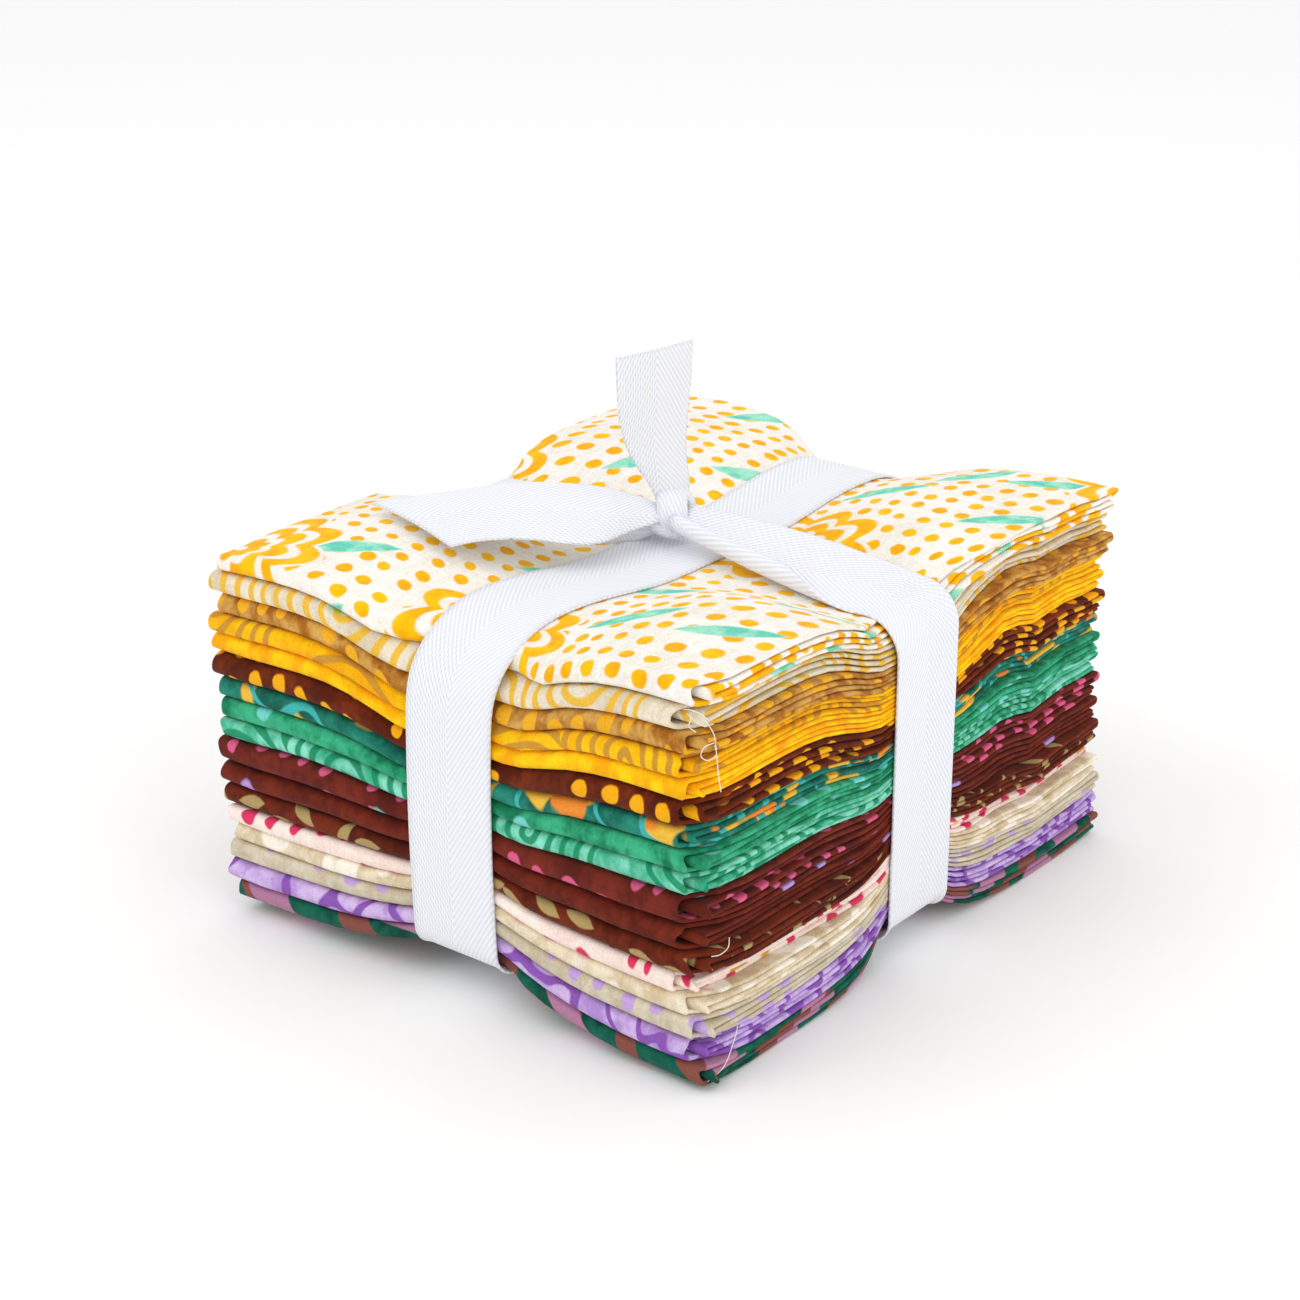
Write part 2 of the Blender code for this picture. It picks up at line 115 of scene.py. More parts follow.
# From the top down: the cloth's name, its thickness against the mean, how far its left, right and
# front edges stand out, and how far its front fold stops short of the right edge.
CLOTHS = (
    ("cloth_01_ivory", 1.05, -1.2, 1.6, 0.2, 3.5),
    ("cloth_02_cream", 1.08, 0.6, -0.8, 0.6, 4.6),
    ("cloth_03_caramel", 0.95, -0.8, 1.3, 0.1, 5.2),
    ("cloth_04_honey", 0.93, 0.8, -1.2, 0.5, 3.2),
    ("cloth_05_yellow", 0.93, 1.4, -0.9, 0.0, 2.8),
    ("cloth_06_rust", 1.20, 0.9, -0.4, 0.5, 4.4),
    ("cloth_07_meadow", 0.93, 0.3, -1.4, -0.2, 3.6),
    ("cloth_08_emerald", 0.93, 0.1, -0.3, 0.2, 2.6),
    ("cloth_09_mint", 0.98, 0.1, -0.5, -0.1, 3.0),
    ("cloth_10_brick", 1.25, 1.0, -0.4, 0.4, 4.6),
    ("cloth_11_cocoa", 1.10, 0.6, -0.3, 0.1, 4.4),
    ("cloth_12_walnut", 1.00, 1.1, 1.2, -0.2, 4.0),
    ("cloth_13_blush", 0.84, -0.3, -1.1, 0.3, 5.2),
    ("cloth_14_oat", 0.86, -1.6, 1.1, -0.1, 4.4),
    ("cloth_15_stone", 0.93, -0.2, 1.4, 0.2, 2.8),
    ("cloth_16_lilac", 1.07, 0.2, 1.0, 0.3, 3.6),
    ("cloth_17_pine", 0.85, -1.5, 1.6, -0.3, 1.2),
)


def mix(a, b, t):
    return a + (b - a) * t


def smooth_step(t):
    t = np.clip(t, 0.0, 1.0)
    return t * t * (3 - 2 * t)


def fade(past, run, power):
    """1 where past is 0 or less, falling to 0 beyond it."""
    return np.exp(-((np.maximum(past, 0.0) / run) ** power))


def spline(points, count):
    """Points on a smooth curve through the given ones, evenly spaced by number."""
    points = np.asarray(points, float)
    padded = np.vstack([2 * points[0] - points[1], points, 2 * points[-1] - points[-2]])
    at = np.linspace(0, len(points) - 1, count)
    index = np.minimum(at.astype(int), len(points) - 2)
    t = (at - index)[:, None]
    before, here, there, after = (padded[index + k] for k in range(4))
    return 0.5 * (
        2 * here + (there - before) * t + (2 * before - 5 * here + 4 * there - after) * t**2
        + (3 * here - before - 3 * there + after) * t**3
    )


def crosswise_squeeze(x, y):
    """How much the band that runs along X squeezes the stack's top."""
    along = 0.5 + x / WIDTH
    front = fade(BAND_Y - HALF_BAND - y, mix(8.0, 15.5, along), 2.0)
    back = fade(y - BAND_Y - mix(HALF_BAND, 6.2, along), 10.0, mix(1.15, 1.6, along))
    return np.where(y < BAND_Y, front, back)


def lengthwise_squeeze(x, y):
    """How much the band that runs along Y squeezes the stack's top."""
    along = 0.5 + y / DEPTH
    power = mix(1.9, 1.15, smooth_step(along))
    left = fade(BAND_X - HALF_BAND - x, mix(16.0, 12.5, along), power)
    right = fade(x - BAND_X - HALF_BAND, mix(17.0, 13.0, along), power)
    return np.where(x < BAND_X, left, right)


def stack_top(x, y):
    crosswise = crosswise_squeeze(x, y) * mix(0.90, 1.0, smooth_step(0.5 + x / 60))
    lengthwise = lengthwise_squeeze(x, y)
    under = lengthwise * mix(1.0, 0.63, smooth_step((np.abs(y) - 12) / 36))
    squeezed = 1 - (1 - crosswise) * (1 - under)
    left = 0.8 * smooth_step((-x - 30) / 26)
    near_end = np.maximum(np.abs(y) - 50, 0.0) / 14
    end = mix(0.9 * smooth_step(near_end), 3.9 * np.minimum(near_end, 1.2) ** 2, lengthwise**2)
    back = 0.7 * smooth_step((y - 34) / 30) * smooth_step((x + 40) / 60)
    crown = TOP_CROWN * np.cos(math.pi * x / WIDTH) * np.cos(math.pi * y / DEPTH)
    return TOP_HEIGHT + crown - left - end - back - TROUGH_DEPTH * squeezed


def stack_bottom(x, y):
    u, v = x / (WIDTH / 2), y / (DEPTH / 2)
    at_front = smooth_step(-v)
    side = np.where(x < BAND_X, mix(14.0, 20.5, at_front), mix(12.0, 16.0, at_front))
    lengthwise = fade(np.abs(x - BAND_X) - 8.5, side, 1.1) * mix(5.4, 7.4, v * v)
    crosswise = fade(np.abs(y - BAND_Y) - 8.5, 7.8, 1.0) * mix(5.4, 7.2, u * u)
    lift = smooth_step((np.abs(v) - 0.80) / 0.2) * mix(2.6, 0.8, (1 + u) / 2)
    under = lift + np.maximum(lengthwise, crosswise) + 0.22 * np.minimum(lengthwise, crosswise)
    return np.maximum(under - 0.4 * (1 - np.abs(u) ** 4), 0.0)


def ripples(x, y, level):
    """The second, shallow wave beside the band on the right, and a slight unevenness elsewhere."""
    at_right = smooth_step((x - 40) / 16)
    near = np.exp(-(((y - WAVE_MIDDLE) / WAVE_REACH) ** 2))
    waved = -WAVE_DEPTH * np.sin((y - WAVE_CROSSING) / WAVE_RUN) * near
    inside = np.sin(math.pi * np.clip(level, 0, 1)) ** 0.6
    wander = 0.22 * np.sin(x / 9.7 + 5.0 * level) * np.sin(y / 11.3 + 3.0 * level + 1.0)
    wander += 0.16 * np.sin(x / 5.1 + 9.0 * level + 2.0) * np.sin(y / 6.3 - 7.0 * level)
    return inside * (at_right * waved * (0.4 + 0.6 * level) + wander)


def place(x, y, level):
    z = mix(stack_bottom(x, y), stack_top(x, y), level) + ripples(x, y, level)
    z = z - 1.4 * smooth_step((level - 0.92) / 0.08) * smooth_step((-x - 46) / 11)
    return np.stack([x, y, z], axis=-1)


def drawn_in(distance, pinch, level, height, rounding, stands_out):
    """How far in an edge is at this distance from a band's middle line and at this level.

    The band pinches it, and draws it in further where it rounds the stack's top and bottom edges.
    """
    beyond = np.abs(distance) - HALF_BAND
    from_top, from_bottom = (1 - level) * height, level * height
    (at_top, top_depth), (at_bottom, bottom_depth) = rounding, LOW_ROUNDING
    top_rounded = at_top * np.exp(-from_top / top_depth) * fade(beyond, TOP_CORNER_RUN, 2.0)
    low_rounded = at_bottom * np.exp(-from_bottom / bottom_depth) * fade(beyond, LOW_CORNER_RUN, 2.0)
    return mix(-stands_out, pinch, fade(beyond, PINCH_RUN, 2.0)) + (top_rounded + low_rounded)


def end_inset(x, bottom, top, stands_out):
    height = float(stack_top(BAND_X, DEPTH / 2) - stack_bottom(BAND_X, DEPTH / 2))
    return drawn_in(x - BAND_X, END_PINCH, (bottom + top) / 2, height, END_ROUNDING, stands_out)


def side_inset(y, level, stands_out):
    height = float(stack_top(WIDTH / 2, BAND_Y) - stack_bottom(WIDTH / 2, BAND_Y))
    return drawn_in(y - BAND_Y, SIDE_PINCH, level, height, SIDE_ROUNDING, stands_out)


def across_fold():
    """The cloth's path in one ply: stations of (plan x, side, distance in from that side, offset).

    side is 0 for a shared plan station, -1 for the left edge and 1 for the right one.
    """
    forward, backward = list(PLAN_X), list(reversed(PLAN_X))
    path = [(0.0, -1, 1.6, -INNER_LAYER)]
    path += [(x, 0, 0.0, -INNER_LAYER) for x in forward]
    for angle in np.radians(np.linspace(-90, 90, 5)):
        reach = INNER_LAYER * math.cos(angle)
        path.append((0.0, 1, 1.5 - reach, INNER_LAYER * math.sin(angle)))
    path += [(x, 0, 0.0, INNER_LAYER) for x in backward]
    middle, radius = (OUTER_LAYER + INNER_LAYER) / 2, (OUTER_LAYER - INNER_LAYER) / 2
    for angle in np.radians(np.linspace(-90, 90, 5)):
        reach = radius * math.cos(angle)
        path.append((0.0, -1, radius - reach, middle + radius * math.sin(angle)))
    path += [(x, 0, 0.0, OUTER_LAYER) for x in forward]
    for angle in np.radians(np.linspace(90, -90, 9)):
        reach = OUTER_LAYER * math.cos(angle)
        path.append((0.0, 1, OUTER_LAYER - reach, OUTER_LAYER * math.sin(angle)))
    path += [(x, 0, 0.0, -OUTER_LAYER) for x in backward]
    path.append((0.0, -1, 0.9, -OUTER_LAYER))
    return np.array(path)


def along_fold(thickness):
    """The plies' path: stations of (plan y, end, distance in from it, height, outward y, outward up).

    end is 0 for a shared plan station, -1 for the front and 1 for the back.
    """
    forward, backward = list(PLAN_Y), list(reversed(PLAN_Y))
    low, lower, upper, high = (thickness * (k + 0.5) / 4 for k in range(4))
    middle, inner, outer = thickness / 2, (upper - lower) / 2, (high - low) / 2
    plump = FOLD_DEPTH * thickness - 1.2
    path = [(0.0, 1, 2.2, lower, 0.0, 1.0)]
    path += [(y, 0, 0.0, lower, 0.0, 1.0) for y in backward]
    for angle in np.radians(np.linspace(-90, 90, 7)):
        out = (-math.cos(angle), math.sin(angle))
        path.append((0.0, -1, plump + 0.7 + inner * out[0], middle + inner * out[1], -out[0], -out[1]))
    path += [(y, 0, 0.0, upper, 0.0, -1.0) for y in forward]
    for angle in np.radians(np.linspace(-90, 90, 7)):
        out = (math.cos(angle), math.sin(angle))
        reach = inner + OUTER_LAYER
        path.append((0.0, 1, reach - inner * out[0], (upper + high) / 2 + inner * out[1], out[0], out[1]))
    path += [(y, 0, 0.0, high, 0.0, 1.0) for y in backward]
    for angle in np.radians(np.linspace(90, -90, 15)):
        c, s = math.cos(angle), math.sin(angle)
        blunt = (abs(c) ** 0.8, math.copysign(abs(s) ** 0.8, s))
        place_y = plump - (plump - OUTER_LAYER) * blunt[0]
        path.append((0.0, -1, place_y, middle + outer * blunt[1], -blunt[0], blunt[1]))
    path += [(y, 0, 0.0, low, 0.0, -1.0) for y in forward]
    path.append((0.0, 1, 1.2, low, 0.0, -1.0))
    return np.array(path)


def wander(count, stations, size, seed):
    """Smooth random offsets for this many stations."""
    chance = np.random.default_rng(seed)
    knots = chance.uniform(-size, size, (count, 1))
    return spline(knots, stations)[:, 0]


def drawn_to(plan, start, last, limit):
    """Plan stations past start, moved so that the last of them stops short of a fold at limit."""
    past = np.maximum(np.abs(plan) - start, 0.0)
    return np.sign(plan) * (np.minimum(np.abs(plan), start) + past * (limit - start) / (last - start))


def bump_at(count, middle, spread):
    """A smooth bump over this many stations, as shares of the way along."""
    return np.exp(-(((np.linspace(0, 1, count) - middle) / spread) ** 2))


def cloth_points(number, bottom, top, left, right, front, short):
    """The folded cloth's grid of points."""
    thickness = (top - bottom) * HEIGHT
    strip, plies = across_fold(), along_fold(thickness)
    plan_y, end, end_in, height, out_y, out_up = plies.T
    plan_x, side, side_in, offset = strip.T
    rough_y = np.where(end == 0, plan_y, end * (DEPTH / 2 - end_in))
    level = bottom + height / HEIGHT
    rows = len(plies)
    chance = np.random.default_rng(700 + number)
    # The front fold stops short of the right edge, and the fold inside it stands further out.
    inner = np.flatnonzero(end == -1)[3] / rows
    near_front = np.exp(-(((rough_y + DEPTH / 2) / 7.0) ** 2))
    gape = near_front * (short - (short + chance.uniform(-0.8, 1.6)) * bump_at(rows, inner, 0.05))
    gape = gape + near_front * wander(22, rows, 0.6, 300 + number)
    free = 1 - 0.8 * fade(np.abs(rough_y - BAND_Y) - HALF_BAND, LOW_CORNER_RUN, 2.0)
    right_edge = WIDTH / 2 - side_inset(rough_y, level, right) - gape
    right_edge = right_edge + free * wander(30, rows, EDGE_WANDER, number)
    left_edge = side_inset(rough_y, level, left) - WIDTH / 2
    left_edge = left_edge + free * wander(30, rows, EDGE_WANDER, 50 + number)
    right_limit = right_edge[:, None] - OUTER_LAYER - 1.3
    left_limit = -left_edge[:, None] - OUTER_LAYER - 1.3
    limit = np.where(plan_x > 0, right_limit, left_limit)
    x = np.where(
        side == 0, drawn_to(plan_x[None, :], SHARED_X, PLAN_X[-1], limit),
        np.where(side > 0, right_edge[:, None] - side_in, left_edge[:, None] + side_in),
    )
    end_reach = DEPTH / 2 - end_inset(x, bottom, top, front)
    rough_front = wander(13, 13, FRONT_WANDER, 90 + number)
    end_reach = end_reach + np.interp(x, np.linspace(-60, 60, 13), rough_front)
    run_limit = end_reach - FOLD_DEPTH * thickness
    y = np.where(
        end[:, None] == 0, drawn_to(plan_y[:, None], SHARED_Y, PLAN_Y[-1], run_limit),
        end[:, None] * (end_reach - end_in[:, None]),
    )
    y = y + out_y[:, None] * offset
    z_level = level[:, None] + out_up[:, None] * offset / HEIGHT
    return place(x, y, z_level)


def lengths_along(points):
    """Distances along the grid's rows, then along its columns, averaged and started at 0."""
    found = []
    for axis in (1, 0):
        steps = np.linalg.norm(np.diff(points, axis=axis), axis=2).mean(axis=1 - axis)
        found.append(np.concatenate([[0.0], np.cumsum(steps)]))
    return found


def grid_mesh(name, points, across, along):
    """An open sheet from a grid of points, with its flat place in millimetres as its UV map."""
    rows, columns = points.shape[:2]
    index = np.arange(rows * columns).reshape(rows, columns)
    a, b, c, d = index[:-1, :-1], index[:-1, 1:], index[1:, 1:], index[1:, :-1]
    middle = (points[:-1, :-1] + points[1:, 1:]) / 2
    slant = points[1:, 1:] - points[:-1, :-1]
    rising = (middle[..., 0] - BAND_X) * (middle[..., 1] - BAND_Y) * slant[..., 0] * slant[..., 1] > 0
    rising = rising[..., None, None]
    faces = np.where(
        rising,
        np.stack([np.stack([a, b, c], -1), np.stack([a, c, d], -1)], -2),
        np.stack([np.stack([b, c, d], -1), np.stack([b, d, a], -1)], -2),
    ).reshape(-1, 3)
    mesh = bpy.data.meshes.new(name)
    mesh.from_pydata((points.reshape(-1, 3) * MM).tolist(), [], faces.tolist())
    flat = np.stack(np.broadcast_arrays(across[None, :], along[:, None]), -1).reshape(-1, 2)
    uv = mesh.uv_layers.new(name="flat")
    corner = np.empty(len(mesh.loops), np.int32)
    mesh.loops.foreach_get("vertex_index", corner)
    uv.data.foreach_set("uv", (flat[corner] * MM).ravel().astype(np.float32))
    mesh.shade_smooth()
    obj = bpy.data.objects.new(name, mesh)
    bpy.context.scene.collection.objects.link(obj)
    return obj


def make_cloths():
    """The cloths from the top down, one open sheet each."""
    total = sum(row[1] for row in CLOTHS)
    level = 1.0
    made = {}
    for number, (node, share, left, right, front, short) in enumerate(CLOTHS):
        below = level - share / total
        points = cloth_points(number, below, level, left, right, front, short)
        across, along = lengths_along(points)
        made[node] = grid_mesh(f"{node}_sheet", points, across, along)
        level = below
    return made


def quarter(start, towards, end, steps=9, power=2.0):
    """Points on a rounded corner between two others, without them."""
    turn = np.radians(np.linspace(0, 90, steps)[1:-1])[:, None]
    start, towards, end = (np.array(p, float) for p in (start, towards, end))
    along, back = np.sin(turn) ** (2 / power), np.cos(turn) ** (2 / power)
    return towards + (start - towards) * (1 - along) + (end - towards) * (1 - back)


def straight(start, end, count=12):
    """Points along a line between two others, with them."""
    return mix(np.array(start), np.array(end), np.linspace(0, 1, count)[:, None])


def ring_stations(low_edge, high_edge, top, bottom, spare_below, top_corner, power):
    """A band's path round the stack in its own plane, from its bottom's low end and under the stack."""
    low, high = low_edge - FACE_OFF, high_edge + FACE_OFF
    in_from, down = top_corner
    run = np.linspace(low + in_from, high - in_from, 40)
    over = np.stack([run, top(run) + TAPE_OFF], -1)
    run = np.linspace(low + BAND_LOW_CORNER, high - BAND_LOW_CORNER, 36)
    under = np.stack([run, bottom(run) - TAPE_OFF - spare_below], -1)
    right_low, right_top = under[-1, 1], over[-1, 1]
    left_low, left_top = under[0, 1], over[0, 1]
    right_face = straight((high, right_low + BAND_LOW_CORNER), (high, right_top - down))
    left_face = straight((low, left_top - down), (low, left_low + BAND_LOW_CORNER))
    return [
        under,
        quarter(under[-1], (high, right_low), right_face[0]),
        right_face,
        quarter(right_face[-1], (high, right_top), over[-1], 15, power),
        over[::-1],
        quarter(over[0], (low, left_top), left_face[0], 15, power),
        left_face,
        quarter(left_face[-1], (low, left_low), under[0]),
    ]


def tape_lengths(points):
    across = np.linspace(0, TAPE_WIDTH, points.shape[1])
    steps = np.linalg.norm(np.diff(points.mean(axis=1), axis=0), axis=1)
    return across, np.concatenate([[0.0], np.cumsum(steps)])


def lengthwise_band():
    """The whole ring that runs over the closed folds, under the knot. It closes under the stack."""
    columns = []
    for share in np.linspace(-1, 1, 13):
        x = BAND_X + share * HALF_BAND
        path = np.vstack(ring_stations(
            END_PINCH - DEPTH / 2, DEPTH / 2 - END_PINCH,
            lambda y: stack_top(x, y), lambda y: stack_bottom(x, y), 0.0, BAND_END_CORNER, 2.5,
        ))
        path = np.roll(path, -18, axis=0)
        path = np.vstack([path, path[:1]])
        on_front = smooth_step((-path[:, 0] - 60) / 8)
        bowed = x - 1.7 * on_front * np.sin(math.pi * np.clip(path[:, 1] / 74, 0, 1)) ** 0.7
        columns.append(np.stack([bowed, path[:, 0], path[:, 1]], -1))
    return np.stack(columns, axis=1)


def folded_under(chord, left_share):
    """The tape's cross-section where it is folded behind itself to this width: (share across, behind)."""
    left = (TAPE_WIDTH - chord) * left_share
    at = np.linspace(0, TAPE_WIDTH, 61)
    turns = (at - left) / chord
    across = 1 - np.abs(turns % 2 - 1)
    tucked = np.maximum(np.maximum(-turns, turns - 1), 0.0)
    behind = 1.0 * smooth_step(tucked * chord / 1.2) + 0.4 * tucked
    return np.stack([across, behind], -1)


def edge_tape(rows, count, left_share, camber):
    """A tape from rows of (left edge, right edge), whose spare width is folded behind it."""
    table = spline(np.array([[*one, *other] for one, other in rows], float), count)
    left, right = table[:, :3], table[:, 3:]
    steps = np.gradient((left + right) / 2, axis=0)
    facing = np.cross(right - left, steps)
    facing /= np.linalg.norm(facing, axis=1)[:, None]
    grid = []
    for one, other, out in zip(left, right, facing):
        chord = min(float(np.linalg.norm(other - one)), TAPE_WIDTH)
        shape = folded_under(chord, left_share)
        arch = camber * np.sin(math.pi * shape[:, :1])
        grid.append(one + (other - one) * shape[:, :1] + out * (arch - shape[:, 1:]))
    return np.stack(grid)


KNOT = np.array([-0.2, 0.1, 76.6])
ENDS_POINT = math.radians(38)
LEFT = np.array([-math.cos(ENDS_POINT), -math.sin(ENDS_POINT), 0.0])
FRONT = np.array([math.sin(ENDS_POINT), -math.cos(ENDS_POINT), 0.0])
UP = np.array([0.0, 0.0, 1.0])


def from_knot(leftward, frontward, up):
    return KNOT + LEFT * leftward + FRONT * frontward + UP * up


def rolled(far, near_y, near_z, radius, over=True):
    """The tape's cross-section: flat from its far edge to the near place, then rolled over or under."""
    flat = min(math.hypot(far[1] - near_y, far[2] - near_z), TAPE_WIDTH - 0.3)
    tilt = math.atan2(near_z - far[2], far[1] - near_y)
    at = np.linspace(0, TAPE_WIDTH, 61)
    past = np.maximum(at - flat, 0.0)
    turned = past / radius * (1 + 0.014 * past)
    heading = tilt + (turned if over else -turned)
    step = TAPE_WIDTH / 60
    across = np.concatenate([[0.0], np.cumsum(np.cos(heading[:-1]) * step)])
    up = np.concatenate([[0.0], np.cumsum(np.sin(heading[:-1]) * step)])
    return np.stack([np.full(61, far[0]), far[1] - across, far[2] + up], -1)


def right_strand(last):
    """The band's right end, from the knot to where it lies flat on the stack at the row last."""
    rows = []
    edge_x, far_y, near_y = last[0, 0], last[0, 1], last[-1, 1]
    for share in np.linspace(0, 1, 30):
        x = mix(KNOT[0] + 2.6, edge_x, share)
        bow = 1.4 * math.sin(math.pi * share)
        far = (x, mix(KNOT[1] + 0.9, far_y, share), mix(KNOT[2] + 1.6, last[0, 2], share) + bow)
        tube_y = mix(KNOT[1] - 2.4, near_y, share**1.15)
        tube_z = mix(KNOT[2] - 1.6, last[-1, 2], 1 - (1 - share) ** 1.7)
        rows.append(rolled(far, tube_y, tube_z, mix(1.6, 2.3, share**2)))
    return np.stack(rows)


def crosswise_band():
    """The band that runs over the cloths' sides, and its right end up to the knot."""
    columns = []
    for y in np.linspace(BAND_Y + HALF_BAND, BAND_Y - HALF_BAND, 61):
        under, low_right, right_face, high_right, over, high_left, left_face, low_left = ring_stations(
            SIDE_PINCH - WIDTH / 2, WIDTH / 2 - SIDE_PINCH,
            lambda x: stack_top(x, y), lambda x: stack_bottom(x, y),
            TAPE_THICKNESS + BANDS_APART, BAND_SIDE_CORNER, 2.0,
        )
        # From the left end, over the left corner, under the stack and up to the right corner.
        path = np.vstack([
            over[-14:], high_left, left_face, low_left, under, low_right, right_face, high_right, over[:1],
        ])
        columns.append(np.stack([path[:, 0], np.full(len(path), y), path[:, 1]], -1))
    ring = np.stack(columns, axis=1)
    left_end = ring[0]
    gathered = []
    for share in np.linspace(0, 1, 20, endpoint=False):
        fallen = 1 - (1 - share) ** 2
        x = mix(KNOT[0] - 3.0, left_end[0, 0], share)
        far_y = mix(KNOT[1] + 1.6, left_end[0, 1], share)
        far_z = mix(KNOT[2] - 0.5, left_end[0, 2], fallen)
        near_y = mix(KNOT[1] - 1.6, left_end[-1, 1], share)
        near_z = mix(KNOT[2] - 1.0, left_end[-1, 2], fallen)
        gathered.append(rolled((x, far_y, far_z), near_y, near_z, 1.7, over=False))
    right = right_strand(ring[-1])[::-1]
    return np.concatenate([np.stack(gathered), ring, right[1:]])


def standing_end():
    """The end that stands up from the knot, cut on a slant."""
    rows = (
        # left edge, right edge
        ((2.6, -1.2, -1.0), (-2.4, -2.2, -1.0)),
        ((3.6, -0.4, 2.2), (-2.6, -2.6, 2.4)),
        ((4.9, 0.6, 5.5), (-2.6, -2.9, 5.5)),
        ((7.4, 2.5, 10.0), (-2.0, -4.5, 11.0)),
        ((9.8, 4.0, 15.5), (-2.2, -6.0, 17.0)),
        ((10.9, 5.5, 22.0), (-2.9, -7.5, 24.0)),
        ((11.3, 5.6, 32.2), (-3.3, -7.5, 32.3)),
    )
    return edge_tape([(from_knot(*a), from_knot(*b)) for a, b in rows], 44, left_share=0.7, camber=0.5)


def lying_end():
    """The end that lies over the front left quarter of the top, cut on a slant."""
    rows = (
        # back edge, front edge
        ((1.0, -1.0, 0.6), (1.0, 1.5, -1.2)),
        ((3.8, -1.0, 1.2), (3.8, 4.0, -1.1)),
        ((7.0, -0.5, 2.8), (9.2, 8.5, -1.3)),
        ((15.4, 0.5, 5.2), (16.0, 17.0, -0.8)),
        ((29.0, 2.4, 6.6), (27.0, 21.0, 1.6)),
        ((43.0, 3.2, 5.0), (36.0, 22.6, 2.0)),
        ((58.5, 2.4, 2.4), (42.0, 23.8, 1.2)),
    )
    return edge_tape([(from_knot(*b), from_knot(*a)) for a, b in rows], 54, left_share=0.6, camber=0.9)


def strand(points, sides, half_width, half_thickness, count=28, around=41, ribs=9):
    """A wrap of the knot: a gathered strand with fine ribs, round in section, along a curve."""
    middles = spline(points, count)
    across = spline(sides, count)
    across /= np.linalg.norm(across, axis=1)[:, None]
    steps = np.gradient(middles, axis=0)
    facing = np.cross(steps, across)
    facing /= np.linalg.norm(facing, axis=1)[:, None]
    angle = np.linspace(0, 2 * math.pi, around)
    ribbed = 1 + 0.05 * np.cos(ribs * angle)
    grid = middles[:, None, :] + across[:, None, :] * (np.cos(angle) * ribbed * half_width)[None, :, None]
    return grid + facing[:, None, :] * (np.sin(angle) * ribbed * half_thickness)[None, :, None]


def knot_strands():
    """The strands that show of the knot: its front wrap, the loop behind it and the lobe below."""
    front = [
        (0.5, -2.4, -1.6), (0.55, -2.0, 1.4), (0.6, -0.2, 2.9), (0.6, 1.9, 2.2),
        (0.5, 2.9, -0.2), (0.3, 2.2, -2.6), (0.2, 0.4, -3.4),
    ]
    rear = [
        (0.6, -1.6, 2.7), (-0.9, -1.6, 3.1), (-2.3, -1.2, 2.4), (-2.8, -0.8, 0.9),
        (-2.5, -0.2, -0.9), (-1.6, 0.2, -2.2),
    ]
    lobe = [(6.4, 0.4, 0.0), (4.6, 1.6, -1.5), (1.8, 2.2, -2.8), (-1.2, 1.8, -3.2), (-3.0, 0.2, -2.4)]
    return [
        strand([from_knot(*p) for p in front], [LEFT] * len(front), 2.7, 1.35),
        strand([from_knot(*p) for p in rear], [FRONT] * len(rear), 1.3, 0.95),
        strand([from_knot(*p) for p in lobe], [FRONT * 0.8 - UP * 0.6] * len(lobe), 1.5, 1.2),
    ]


# Loose threads at the front right corner: the cloth they come from, and points along each.
THREADS = (
    ("cloth_01_ivory", [(54.5, -66.5, 71.0), (57.0, -67.0, 70.6), (59.0, -66.5, 68.0), (59.4, -66.2, 64.0),
                        (60.1, -66.6, 61.0), (59.9, -65.6, 57.5)]),
    ("cloth_01_ivory", [(59.2, -66.6, 66.6), (58.2, -68.0, 66.0), (57.8, -68.4, 64.4), (58.6, -67.6, 63.6),
                        (59.5, -66.5, 64.4), (59.3, -66.6, 66.2)]),
    ("cloth_01_ivory", [(53.5, -67.6, 71.4), (55.2, -68.2, 72.0), (56.8, -67.6, 71.6), (57.8, -66.6, 70.4)]),
    ("cloth_01_ivory", [(54.0, -67.2, 70.6), (56.0, -67.9, 70.2), (57.4, -67.4, 69.4), (58.6, -66.0, 69.6)]),
    ("cloth_01_ivory", [(55.0, -67.4, 71.2), (55.6, -68.4, 70.4), (55.4, -68.6, 69.2), (56.4, -68.0, 68.2)]),
    ("cloth_12_walnut", [(58.4, -65.8, 26.2), (59.4, -64.6, 26.4), (60.0, -63.2, 27.4), (59.8, -62.6, 29.0)]),
    ("cloth_17_pine", [(58.0, -66.5, 1.6), (59.6, -63.5, 4.0), (60.0, -61.0, 8.5), (59.6, -59.5, 10.4)]),
)


def thread(name, points, radius=0.085, around=6):
    """A loose thread: a thin tube along a curve, with a UV map like the cloths'."""
    middles = spline(points, 36)
    ahead = np.gradient(middles, axis=0)
    ahead /= np.linalg.norm(ahead, axis=1)[:, None]
    side = np.cross(ahead, (0.2, 0.1, 1.0))
    side /= np.linalg.norm(side, axis=1)[:, None]
    up = np.cross(side, ahead)
    angle = np.linspace(0, 2 * math.pi, around + 1)
    ring = side[:, None, :] * np.cos(angle)[None, :, None] + up[:, None, :] * np.sin(angle)[None, :, None]
    points = middles[:, None, :] + ring * radius
    along = np.concatenate([[0.0], np.cumsum(np.linalg.norm(np.diff(middles, axis=0), axis=1))])
    return grid_mesh(name, points, np.linspace(0, 1, around + 1), along)


def make_threads():
    made = {}
    for number, (node, points) in enumerate(THREADS):
        made.setdefault(node, []).append(thread(f"thread_{number}", points))
    return made


